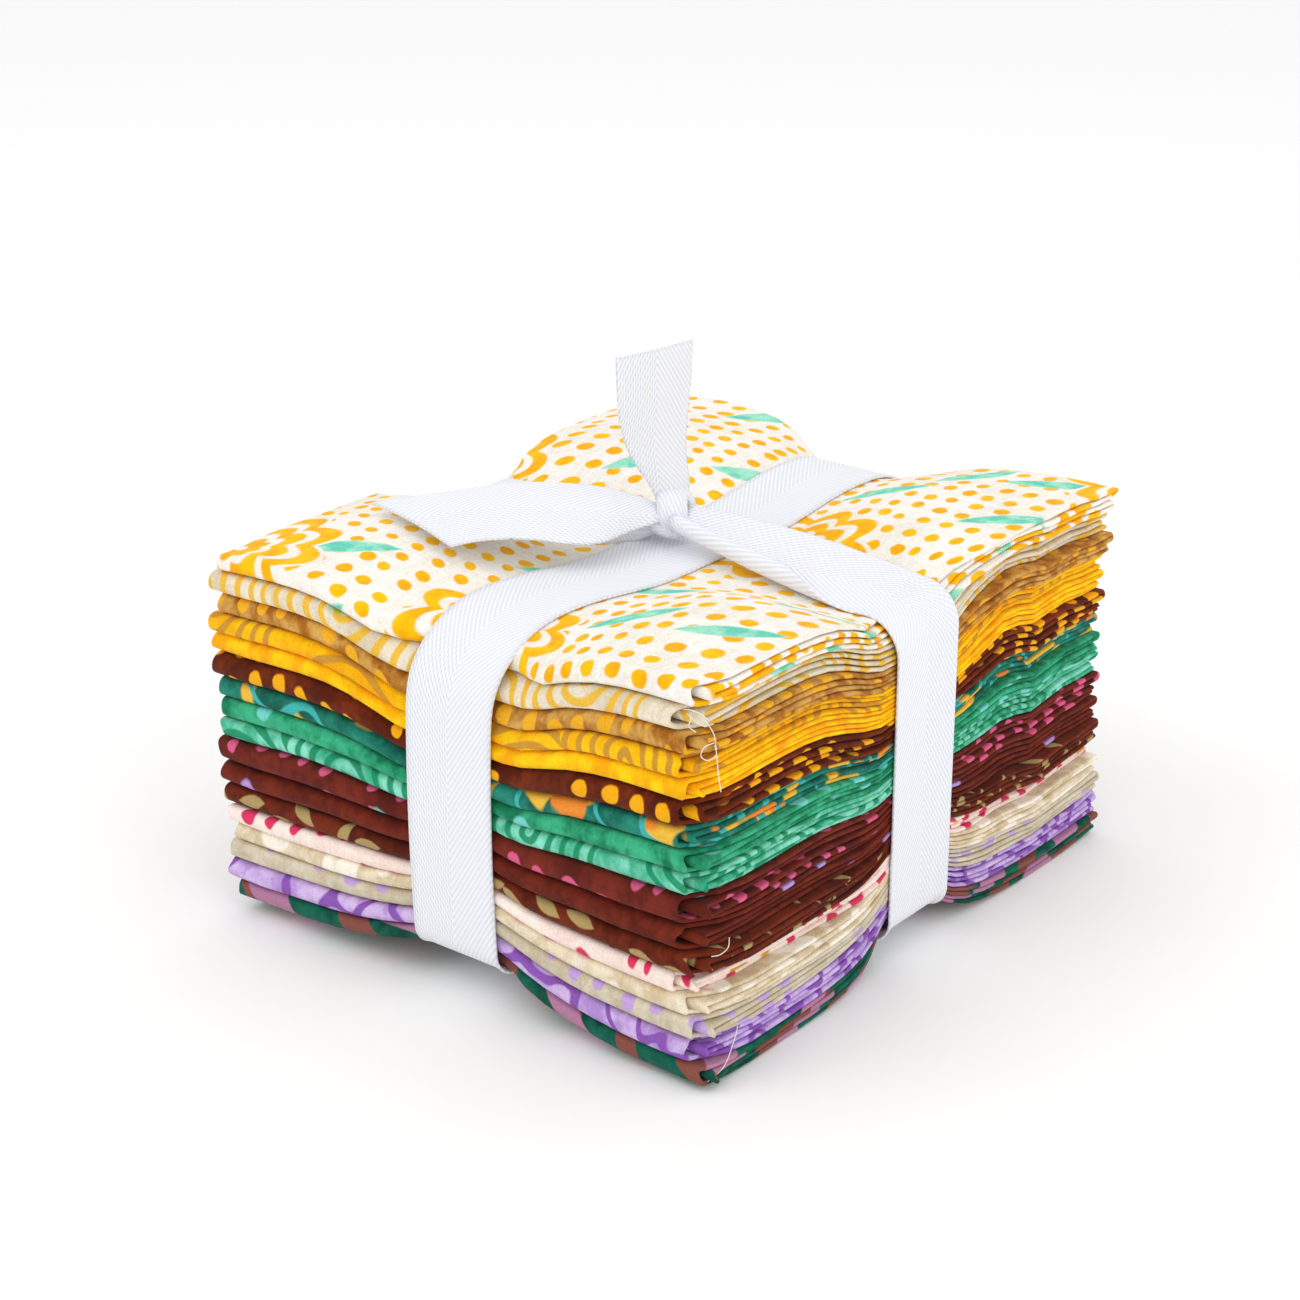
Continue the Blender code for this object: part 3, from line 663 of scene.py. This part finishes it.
def make_ribbon():
    """The ribbon's parts, joined into one object."""
    parts = [
        lengthwise_band(),
        crosswise_band(),
        standing_end(),
        lying_end(),
        *knot_strands(),
    ]
    objects = []
    for number, points in enumerate(parts):
        across, along = tape_lengths(points)
        objects.append(grid_mesh(f"ribbon_part_{number}", points, across, along))
    bpy.ops.object.select_all(action="DESELECT")
    for obj in objects:
        obj.select_set(True)
    bpy.context.view_layer.objects.active = objects[0]
    bpy.ops.object.join()
    ribbon = objects[0]
    ribbon.name = "ribbon_tape"
    thick = ribbon.modifiers.new("thickness", "SOLIDIFY")
    thick.thickness = TAPE_THICKNESS * MM
    thick.offset = 0.0
    return ribbon


class Cotton:
    """A material's nodes, with short calls for the ones that the prints use."""

    def __init__(self, name, roughness):
        self.material = bpy.data.materials.new(name)
        self.material.use_nodes = True
        self.tree = self.material.node_tree
        self.shader = self.tree.nodes["Principled BSDF"]
        self.shader.inputs["Roughness"].default_value = roughness
        self.shader.inputs["Specular IOR Level"].default_value = 0.12
        self.shader.inputs["Sheen Weight"].default_value = 0.04
        self.shader.inputs["Sheen Roughness"].default_value = 0.5
        uv = self.tree.nodes.new("ShaderNodeUVMap")
        uv.uv_map = "flat"
        # From here on, a print's lengths are in millimetres.
        self.flat = self.vector("MULTIPLY", uv.outputs["UV"], (1000.0, 1000.0, 0.0))

    def link(self, value, socket):
        if isinstance(value, bpy.types.NodeSocket):
            self.tree.links.new(value, socket)
        elif value is not None:
            socket.default_value = value

    def math(self, operation, a, b=None, c=None, clamp=False):
        node = self.tree.nodes.new("ShaderNodeMath")
        node.operation = operation
        node.use_clamp = clamp
        for value, socket in zip((a, b, c), node.inputs):
            self.link(value, socket)
        return node.outputs[0]

    def vector(self, operation, a, b=None, scale=None):
        node = self.tree.nodes.new("ShaderNodeVectorMath")
        node.operation = operation
        self.link(a, node.inputs[0])
        self.link(b, node.inputs[1])
        if scale is not None:
            self.link(scale, node.inputs["Scale"])
        return node.outputs["Value" if operation in ("LENGTH", "DISTANCE", "DOT_PRODUCT") else "Vector"]

    def parts(self, vector):
        node = self.tree.nodes.new("ShaderNodeSeparateXYZ")
        self.link(vector, node.inputs[0])
        return node.outputs["X"], node.outputs["Y"]

    def turned(self, vector, degrees):
        node = self.tree.nodes.new("ShaderNodeVectorRotate")
        node.rotation_type = "Z_AXIS"
        self.link(vector, node.inputs["Vector"])
        node.inputs["Angle"].default_value = math.radians(degrees)
        return node.outputs[0]

    def noise(self, size, detail=2.0, seed=0.0, where=None, colour=False):
        """Noise whose blots are about this many millimetres across."""
        node = self.tree.nodes.new("ShaderNodeTexNoise")
        node.noise_dimensions = "3D"
        where = self.flat if where is None else where
        moved = self.vector("ADD", where, (seed * 37.0, seed * 91.0, seed * 13.0))
        self.link(moved, node.inputs["Vector"])
        node.inputs["Scale"].default_value = 1.0 / size
        node.inputs["Detail"].default_value = detail
        return node.outputs["Color" if colour else "Fac"]

    def warped(self, size, amount, seed=0.0):
        """The flat place, pushed about smoothly by up to half this amount each way."""
        push = self.vector("SUBTRACT", self.noise(size, 1.0, seed, colour=True), (0.5, 0.5, 0.5))
        return self.vector("ADD", self.flat, self.vector("SCALE", push, scale=amount * 2.0))

    def cells(self, pitch, randomness, where=None, seed=0.0):
        """Cells of this pitch: (place within the cell in millimetres, its random colour, how far from its
        middle in pitches).
        """
        where = self.flat if where is None else where
        where = self.vector("ADD", where, (seed * 53.0, seed * 29.0, 0.0))
        node = self.tree.nodes.new("ShaderNodeTexVoronoi")
        node.voronoi_dimensions = "2D"
        node.inputs["Scale"].default_value = 1.0 / pitch
        node.inputs["Randomness"].default_value = randomness
        self.link(where, node.inputs["Vector"])
        inside = self.vector("SUBTRACT", where, node.outputs["Position"])
        return inside, node.outputs["Color"], node.outputs["Distance"]

    def below(self, value, edge, soft):
        """1 where value is under edge, with a soft rim."""
        node = self.tree.nodes.new("ShaderNodeMapRange")
        node.interpolation_type = "SMOOTHSTEP"
        self.link(value, node.inputs["Value"])
        low = self.math("SUBTRACT", edge, soft) if isinstance(edge, bpy.types.NodeSocket) else edge - soft
        high = self.math("ADD", edge, soft) if isinstance(edge, bpy.types.NodeSocket) else edge + soft
        self.link(low, node.inputs["From Min"])
        self.link(high, node.inputs["From Max"])
        node.inputs["To Min"].default_value = 1.0
        node.inputs["To Max"].default_value = 0.0
        return node.outputs[0]

    def blend(self, a, b, share):
        node = self.tree.nodes.new("ShaderNodeMix")
        node.data_type = "RGBA"
        self.link(share, node.inputs["Factor"])
        for value, socket in ((a, node.inputs[6]), (b, node.inputs[7])):
            if isinstance(value, bpy.types.NodeSocket):
                self.tree.links.new(value, socket)
            else:
                socket.default_value = (*value, 1.0)
        return node.outputs[2]

    # Prints.

    def mottled(self, dark, light, size=9.0, seed=0.0, sharp=0.16):
        """Hand-dyed ground that drifts between two tones."""
        coarse = self.noise(size, 5.0, seed)
        fine = self.noise(2.2, 3.0, seed + 21.0)
        both = self.math("ADD", self.math("MULTIPLY", coarse, 0.62), self.math("MULTIPLY", fine, 0.38))
        return self.blend(dark, light, self.below(self.math("SUBTRACT", 1.0, both), 0.5, sharp * 0.75))

    def dots(self, pitch, radius, loose=0.25, warp=(60.0, 10.0), seed=0.0, kept=1.0, uneven=0.35):
        """Dots in drifting rows. kept is the share of them that is printed."""
        where = self.warped(warp[0], warp[1], seed + 3.0)
        _, colour, distance = self.cells(pitch, loose, where, seed)
        red, green = self.parts(colour)
        share = self.math("MULTIPLY_ADD", red, uneven, 1.0 - uneven / 2)
        size = self.math("MULTIPLY", share, radius / pitch)
        rough = self.math("MULTIPLY_ADD", self.noise(1.6, 2.0, seed + 5.0), 0.5 / pitch, -0.25 / pitch)
        mask = self.below(self.math("ADD", distance, rough), size, 0.035)
        if kept < 1.0:
            mask = self.math("MULTIPLY", mask, self.math("LESS_THAN", green, kept))
        return mask

    def leaves(self, pitch, length, width, seed=0.0, kept=0.6, lean=20.0, spread=70.0):
        """Pointed leaves, each turned its own way."""
        inside, colour, _ = self.cells(pitch, 0.6, None, seed)
        red, green = self.parts(colour)
        turn = self.tree.nodes.new("ShaderNodeVectorRotate")
        turn.rotation_type = "Z_AXIS"
        self.link(inside, turn.inputs["Vector"])
        angle = self.math("MULTIPLY_ADD", red, math.radians(spread), math.radians(lean))
        self.link(angle, turn.inputs["Angle"])
        x, y = self.parts(turn.outputs[0])
        along = self.math("POWER", self.math("DIVIDE", x, length / 2), 2.0)
        across = self.math("ABSOLUTE", self.math("DIVIDE", y, width / 2))
        rough = self.math("MULTIPLY_ADD", self.noise(2.5, 2.0, seed + 5.0), 0.3, -0.15)
        shape = self.math("ADD", self.math("ADD", along, across), rough)
        return self.math("MULTIPLY", self.below(shape, 1.0, 0.18), self.math("LESS_THAN", green, kept))

    def rings(self, pitch, size, count, seed=0.0, petals=0, kept=1.0, share=0.55):
        """Round motifs of concentric lines, petal-edged if asked, and how far out they reach."""
        inside, colour, _ = self.cells(pitch, 0.7, None, seed)
        _, green = self.parts(colour)
        x, y = self.parts(inside)
        radius = self.vector("LENGTH", self.warp_local(inside, seed))
        if petals:
            angle = self.math("ARCTAN2", y, x)
            lobe = self.math("ABSOLUTE", self.math("COSINE", self.math("MULTIPLY", angle, petals / 2)))
            radius = self.math("DIVIDE", radius, self.math("MULTIPLY_ADD", lobe, 0.24, 0.80))
        reach = self.math("DIVIDE", radius, size)
        wave = self.math("FRACT", self.math("MULTIPLY", reach, float(count)))
        line = self.below(self.math("ABSOLUTE", self.math("SUBTRACT", wave, 0.5)), share / 2, 0.06)
        held = self.math("LESS_THAN", green, kept)
        disc = self.math("MULTIPLY", self.below(reach, 1.0, 0.01), held)
        return self.math("MULTIPLY", line, disc), disc

    def warp_local(self, inside, seed):
        push = self.vector("SUBTRACT", self.noise(14.0, 1.0, seed + 8.0, colour=True), (0.5, 0.5, 0.5))
        flat_push = self.vector("MULTIPLY", push, (3.0, 3.0, 0.0))
        return self.vector("ADD", inside, flat_push)

    def squiggles(self, size, width, seed=0.0, detail=0.5):
        """Wandering lines: the places where a noise crosses its middle."""
        field = self.math("ABSOLUTE", self.math("SUBTRACT", self.noise(size, detail, seed), 0.5))
        return self.below(field, width, width * 0.25)

    def blotches(self, size, share, seed=0.0, detail=1.0, soft=0.015):
        return self.below(self.math("SUBTRACT", 1.0, self.noise(size, detail, seed)), share, soft)

    def stripes(self, pitch, share, warp=(30.0, 9.0), degrees=0.0, seed=0.0):
        """Wavy stripes."""
        x, _ = self.parts(self.turned(self.warped(warp[0], warp[1], seed), degrees))
        wave = self.math("FRACT", self.math("DIVIDE", x, pitch))
        return self.below(self.math("ABSOLUTE", self.math("SUBTRACT", wave, 0.5)), share / 2, 0.2 / pitch)

    def finish(self, colour, pitch=0.46, strength=0.45, slub=0.10):
        """A plain weave in relief, with the threads' slight unevenness in colour and height, and the weave's
        hollows painted slightly darker as painted shade.
        """
        x, y = self.parts(self.flat)
        warp_way = self.math("SINE", self.math("MULTIPLY", x, 2 * math.pi / pitch))
        weft_way = self.math("SINE", self.math("MULTIPLY", y, 2 * math.pi / pitch))
        weave = self.math("MULTIPLY", warp_way, weft_way)
        stretched = self.vector("MULTIPLY", self.flat, (1.0, 0.08, 1.0))
        slubs = self.noise(0.7, 2.0, 11.0, where=stretched)
        crossed = self.vector("MULTIPLY", self.flat, (0.08, 1.0, 1.0))
        slubs = self.math("ADD", slubs, self.noise(0.7, 2.0, 17.0, where=crossed))
        thread_tone_and_weave_shade = self.math("MULTIPLY_ADD", self.math("SUBTRACT", slubs, 1.0), slub * 2, 1.0)
        grain = self.math("MULTIPLY_ADD", self.noise(0.38, 1.0, 29.0), 0.36, -0.18)
        # The weave term paints its hollows slightly darker than its raised threads: painted shade. The slubs
        # and grain are the threads' own tone.
        thread_tone_and_weave_shade = self.math("ADD", thread_tone_and_weave_shade, self.math("MULTIPLY_ADD", weave, 0.045, grain))
        tone = self.tree.nodes.new("ShaderNodeVectorMath")
        tone.operation = "SCALE"
        self.link(colour, tone.inputs[0])
        self.link(thread_tone_and_weave_shade, tone.inputs["Scale"])
        self.link(tone.outputs["Vector"], self.shader.inputs["Base Color"])
        crumple = self.noise(5.0, 3.0, 23.0)
        height = self.math("ADD", self.math("MULTIPLY", weave, 0.05), self.math("MULTIPLY", slubs, 0.14))
        height = self.math("ADD", height, self.math("MULTIPLY", crumple, 0.35))
        bump = self.tree.nodes.new("ShaderNodeBump")
        bump.inputs["Strength"].default_value = strength
        bump.inputs["Distance"].default_value = 1.0 * MM
        self.link(height, bump.inputs["Height"])
        self.link(bump.outputs["Normal"], self.shader.inputs["Normal"])
        return self.material


def linear(colour):
    """An sRGB colour from 0 to 1 as linear numbers."""
    return tuple(c / 12.92 if c <= 0.04045 else ((c + 0.055) / 1.055) ** 2.4 for c in colour)


def ivory_print():
    c = Cotton("ivory_print", 0.85)
    ground = c.mottled(linear((0.93, 0.905, 0.855)), linear((0.965, 0.945, 0.915)), 18.0, 1.0)
    gold = c.mottled(linear((0.96, 0.67, 0.0)), linear((0.99, 0.77, 0.02)), 5.0, 2.0)
    lines, disc = c.rings(60.0, 19.0, 3, seed=4.0, petals=9, kept=0.85, share=0.62)
    leaf = c.leaves(29.0, 19.0, 4.8, seed=2.0, kept=0.95, spread=40.0)
    dots = c.dots(5.6, 1.5, seed=1.0, uneven=0.25)
    dots = c.math("MULTIPLY", dots, c.math("SUBTRACT", 1.0, disc))
    dots = c.math("MULTIPLY", dots, c.math("SUBTRACT", 1.0, leaf))
    colour = c.blend(ground, gold, c.math("MAXIMUM", dots, lines))
    aqua = c.mottled(linear((0.38, 0.80, 0.70)), linear((0.64, 0.90, 0.79)), 5.0, 5.0)
    colour = c.blend(colour, aqua, c.math("MULTIPLY", leaf, c.math("SUBTRACT", 1.0, disc)))
    return c.finish(colour)


def arcs_print(name, dark, light, line, seed):
    c = Cotton(name, 0.85)
    ground = c.mottled(linear(dark), linear(light), 10.0, seed)
    lines, _ = c.rings(34.0, 17.0, 5, seed=seed + 1.0, share=0.42)
    return c.finish(c.blend(ground, linear(line), c.math("MULTIPLY", lines, 0.92)))


def dotted_print(name, dark, light, dot, seed, pitch=6.4, radius=1.6, kept=0.9, second=None, size=9.0):
    c = Cotton(name, 0.85)
    ground = c.mottled(linear(dark), linear(light), size, seed)
    colour = c.blend(ground, linear(dot), c.dots(pitch, radius, seed=seed, kept=kept))
    if second:
        colour = c.blend(colour, linear(second), c.dots(pitch * 1.9, radius, seed=seed + 4.0, kept=0.5))
    return c.finish(colour)


def mottled_print(name, dark, light, seed, size=6.0):
    c = Cotton(name, 0.85)
    return c.finish(c.mottled(linear(dark), linear(light), size, seed))


def meadow_print():
    c = Cotton("meadow_print", 0.85)
    ground = c.mottled(linear((0.06, 0.36, 0.30)), linear((0.15, 0.55, 0.47)), 12.0, 7.0)
    colour = c.blend(ground, linear((0.93, 0.73, 0.25)), c.blotches(13.0, 0.44, 7.0))
    colour = c.blend(colour, linear((0.92, 0.55, 0.20)), c.blotches(11.0, 0.36, 8.0))
    colour = c.blend(colour, linear((0.25, 0.70, 0.68)), c.squiggles(16.0, 0.018, 9.0))
    return c.finish(colour)


def walnut_print():
    c = Cotton("walnut_print", 0.85)
    ground = c.mottled(linear((0.31, 0.09, 0.03)), linear((0.45, 0.16, 0.07)), 8.0, 12.0)
    leaf = c.leaves(7.5, 7.0, 2.2, seed=12.0, kept=0.85, lean=-50.0, spread=110.0)
    return c.finish(c.blend(ground, linear((0.72, 0.63, 0.41)), c.math("MULTIPLY", leaf, 0.85)))


def blush_print():
    c = Cotton("blush_print", 0.85)
    ground = c.mottled(linear((0.95, 0.85, 0.81)), linear((0.98, 0.92, 0.88)), 12.0, 13.0)
    colour = c.blend(ground, linear((0.86, 0.60, 0.10)), c.blotches(17.0, 0.34, 13.0))
    return c.finish(c.blend(colour, linear((0.86, 0.22, 0.38)), c.dots(6.8, 1.5, seed=13.0, kept=0.85)))


def oat_print():
    c = Cotton("oat_print", 0.85)
    ground = c.mottled(linear((0.82, 0.74, 0.60)), linear((0.93, 0.88, 0.78)), 7.0, 14.0)
    return c.finish(c.blend(ground, linear((0.97, 0.94, 0.88)), c.blotches(9.0, 0.42, 14.0, soft=0.03)))


def lilac_print():
    c = Cotton("lilac_print", 0.85)
    ground = c.mottled(linear((0.70, 0.56, 0.83)), linear((0.84, 0.74, 0.92)), 8.0, 16.0)
    return c.finish(c.blend(ground, linear((0.55, 0.34, 0.70)), c.squiggles(9.0, 0.045, 16.0)))


def pine_print():
    c = Cotton("pine_print", 0.85)
    ground = c.mottled(linear((0.03, 0.26, 0.20)), linear((0.08, 0.40, 0.32)), 9.0, 17.0)
    colour = c.blend(ground, linear((0.53, 0.31, 0.27)), c.stripes(15.0, 0.38, seed=17.0, degrees=35.0))
    mauve = c.stripes(23.0, 0.26, seed=18.0, degrees=52.0)
    return c.finish(c.blend(colour, linear((0.70, 0.49, 0.61)), mauve))


def twill_tape():
    """White herringbone twill: ribs that slant one way on each half of the tape, painted bluish grey in their
    grooves and white on their tops as painted shade and light.
    """
    c = Cotton("twill_tape", 0.7)
    x, y = c.parts(c.flat)
    from_middle = c.math("SUBTRACT", x, TAPE_WIDTH / 2)
    across = c.math("ABSOLUTE", from_middle)
    slant = c.math("ADD", y, c.math("MULTIPLY", across, 1.55))
    rib = c.math("SINE", c.math("MULTIPLY", slant, 2 * math.pi / 1.5))
    threads = c.math("SINE", c.math("MULTIPLY", x, 2 * math.pi / 0.6))
    # One half shows plain ribs, the other broken ones.
    broken = c.math("MULTIPLY_ADD", c.math("GREATER_THAN", from_middle, 0.0), -0.35, 0.45)
    weave = c.math("ADD", c.math("MULTIPLY", rib, 0.5), c.math("MULTIPLY", threads, broken))
    edge = c.below(c.math("SUBTRACT", TAPE_WIDTH / 2, across), 0.7, 0.15)
    height = c.math("ADD", weave, c.math("MULTIPLY", edge, 0.6))
    # The colour runs from a bluish grey in the ribs' grooves to white on their tops: painted shade and light
    # that follow the relief.
    painted_rib_shading = c.math("MULTIPLY_ADD", weave, 0.4, 0.6)
    tone = c.blend(linear((0.78, 0.80, 0.85)), linear((0.985, 0.987, 0.997)), painted_rib_shading)
    c.link(tone, c.shader.inputs["Base Color"])
    bump = c.tree.nodes.new("ShaderNodeBump")
    bump.inputs["Strength"].default_value = 0.5
    bump.inputs["Distance"].default_value = 0.12 * MM
    c.link(height, bump.inputs["Height"])
    c.link(bump.outputs["Normal"], c.shader.inputs["Normal"])
    return c.material


def thread_look():
    c = Cotton("loose_thread", 0.8)
    c.link((*linear((0.93, 0.91, 0.86)), 1.0), c.shader.inputs["Base Color"])
    return c.material


def prints():
    rust = ((0.32, 0.10, 0.02), (0.48, 0.18, 0.05))
    brick = ((0.34, 0.10, 0.07), (0.47, 0.16, 0.11))
    cocoa = ((0.34, 0.10, 0.06), (0.46, 0.16, 0.09))
    return {
        "cloth_01_ivory": ivory_print(),
        "cloth_02_cream": arcs_print(
            "cream_print", (0.85, 0.79, 0.68), (0.92, 0.88, 0.79), (0.92, 0.72, 0.12), 2.0,
        ),
        "cloth_03_caramel": dotted_print(
            "caramel_print", (0.64, 0.38, 0.08), (0.84, 0.65, 0.33), (0.93, 0.68, 0.14), 3.0, size=5.0,
        ),
        "cloth_04_honey": arcs_print(
            "honey_print", (0.95, 0.66, 0.0), (0.98, 0.79, 0.04), (0.78, 0.56, 0.20), 4.0,
        ),
        "cloth_05_yellow": mottled_print("yellow_print", (0.97, 0.66, 0.0), (1.0, 0.83, 0.05), 5.0),
        "cloth_06_rust": dotted_print("rust_print", *rust, (0.95, 0.67, 0.06), 6.1, 6.1, 1.55),
        "cloth_07_meadow": meadow_print(),
        "cloth_08_emerald": dotted_print(
            "emerald_print", (0.04, 0.46, 0.31), (0.24, 0.70, 0.52), (0.45, 0.82, 0.78), 8.0, 9.5, 1.9, 0.6,
        ),
        "cloth_09_mint": arcs_print(
            "mint_print", (0.22, 0.68, 0.52), (0.55, 0.88, 0.78), (0.08, 0.55, 0.38), 9.0,
        ),
        "cloth_10_brick": dotted_print(
            "brick_print", *brick, (0.86, 0.36, 0.52), 10.0, 6.3, 1.45, 0.85, second=(0.45, 0.75, 0.70),
        ),
        "cloth_11_cocoa": dotted_print("cocoa_print", *cocoa, (0.72, 0.58, 0.85), 11.0, 11.0, 2.1, 0.45),
        "cloth_12_walnut": walnut_print(),
        "cloth_13_blush": blush_print(),
        "cloth_14_oat": oat_print(),
        "cloth_15_stone": dotted_print(
            "stone_print", (0.76, 0.71, 0.60), (0.85, 0.81, 0.73), (0.76, 0.64, 0.86), 15.0, 7.6, 1.7, 0.85,
        ),
        "cloth_16_lilac": lilac_print(),
        "cloth_17_pine": pine_print(),
    }


def place_camera():
    az, el = CAMERA_AZIMUTH, CAMERA_ELEVATION
    aim = Vector((AIM_SIDEWAYS * math.cos(az), AIM_SIDEWAYS * math.sin(az), AIM_HEIGHT))
    away = Vector((math.sin(az) * math.cos(el), -math.cos(az) * math.cos(el), math.sin(el)))
    camera = bpy.data.objects.new("camera", bpy.data.cameras.new("camera"))
    bpy.context.scene.collection.objects.link(camera)
    camera.location = (aim + away * CAMERA_DISTANCE) * MM
    camera.rotation_euler = (-away).to_track_quat("-Z", "Y").to_euler()
    camera.data.sensor_width = 36.0
    camera.data.lens = CAMERA_LENS
    camera.data.clip_start = 0.01
    bpy.context.scene.camera = camera


# The studio's lights: name, place and size in metres, and power in watts.
LIGHTS = (
    ("key_light", (-0.45, -0.75, 0.9), 0.7, 2.1),
    ("fill_light", (0.95, -0.25, 0.5), 0.8, 1.9),
    ("top_light", (0.1, 0.25, 1.1), 0.9, 0.9),
)
WORLD_STRENGTH = 0.92
FLOOR_WHITE = 0.98


def area_light(name, place_at, size, power, aim=(0.0, 0.0, 0.04)):
    light = bpy.data.lights.new(name, "AREA")
    light.size = size
    light.energy = power
    obj = bpy.data.objects.new(name, light)
    obj.location = place_at
    obj.rotation_euler = (Vector(aim) - Vector(place_at)).to_track_quat("-Z", "Y").to_euler()
    bpy.context.scene.collection.objects.link(obj)


def light_scene():
    for name, place_at, size, power in LIGHTS:
        area_light(name, place_at, size, power)
    world = bpy.data.worlds.new("studio")
    bpy.context.scene.world = world
    world.use_nodes = True
    background = world.node_tree.nodes["Background"]
    background.inputs["Color"].default_value = (1.0, 1.0, 1.0, 1.0)
    background.inputs["Strength"].default_value = WORLD_STRENGTH
    bpy.context.scene.view_settings.view_transform = "Standard"


def lay_floor():
    mesh = bpy.data.meshes.new("floor")
    reach = 3.0
    corners = [(-reach, -reach, 0), (reach, -reach, 0), (reach, reach, 0), (-reach, reach, 0)]
    mesh.from_pydata(corners, [], [(0, 1, 2, 3)])
    floor = bpy.data.objects.new("floor", mesh)
    bpy.context.scene.collection.objects.link(floor)
    material = bpy.data.materials.new("floor")
    material.use_nodes = True
    shader = material.node_tree.nodes["Principled BSDF"]
    shader.inputs["Base Color"].default_value = (FLOOR_WHITE, FLOOR_WHITE, FLOOR_WHITE, 1.0)
    shader.inputs["Roughness"].default_value = 0.9
    mesh.materials.append(material)


def main():
    place_camera()
    light_scene()
    lay_floor()
    looks = prints()
    threads = make_threads()
    plain = thread_look()
    for node, cloth in make_cloths().items():
        cloth.data.materials.append(looks[node])
        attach(cloth, "root")
        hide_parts(node)
        loose = threads.get(node, [])
        for piece in loose:
            piece.data.materials.append(plain)
            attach(piece, "root")
    ribbon = make_ribbon()
    ribbon.data.materials.append(twill_tape())
    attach(ribbon, "root")
    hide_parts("ribbon")


main()
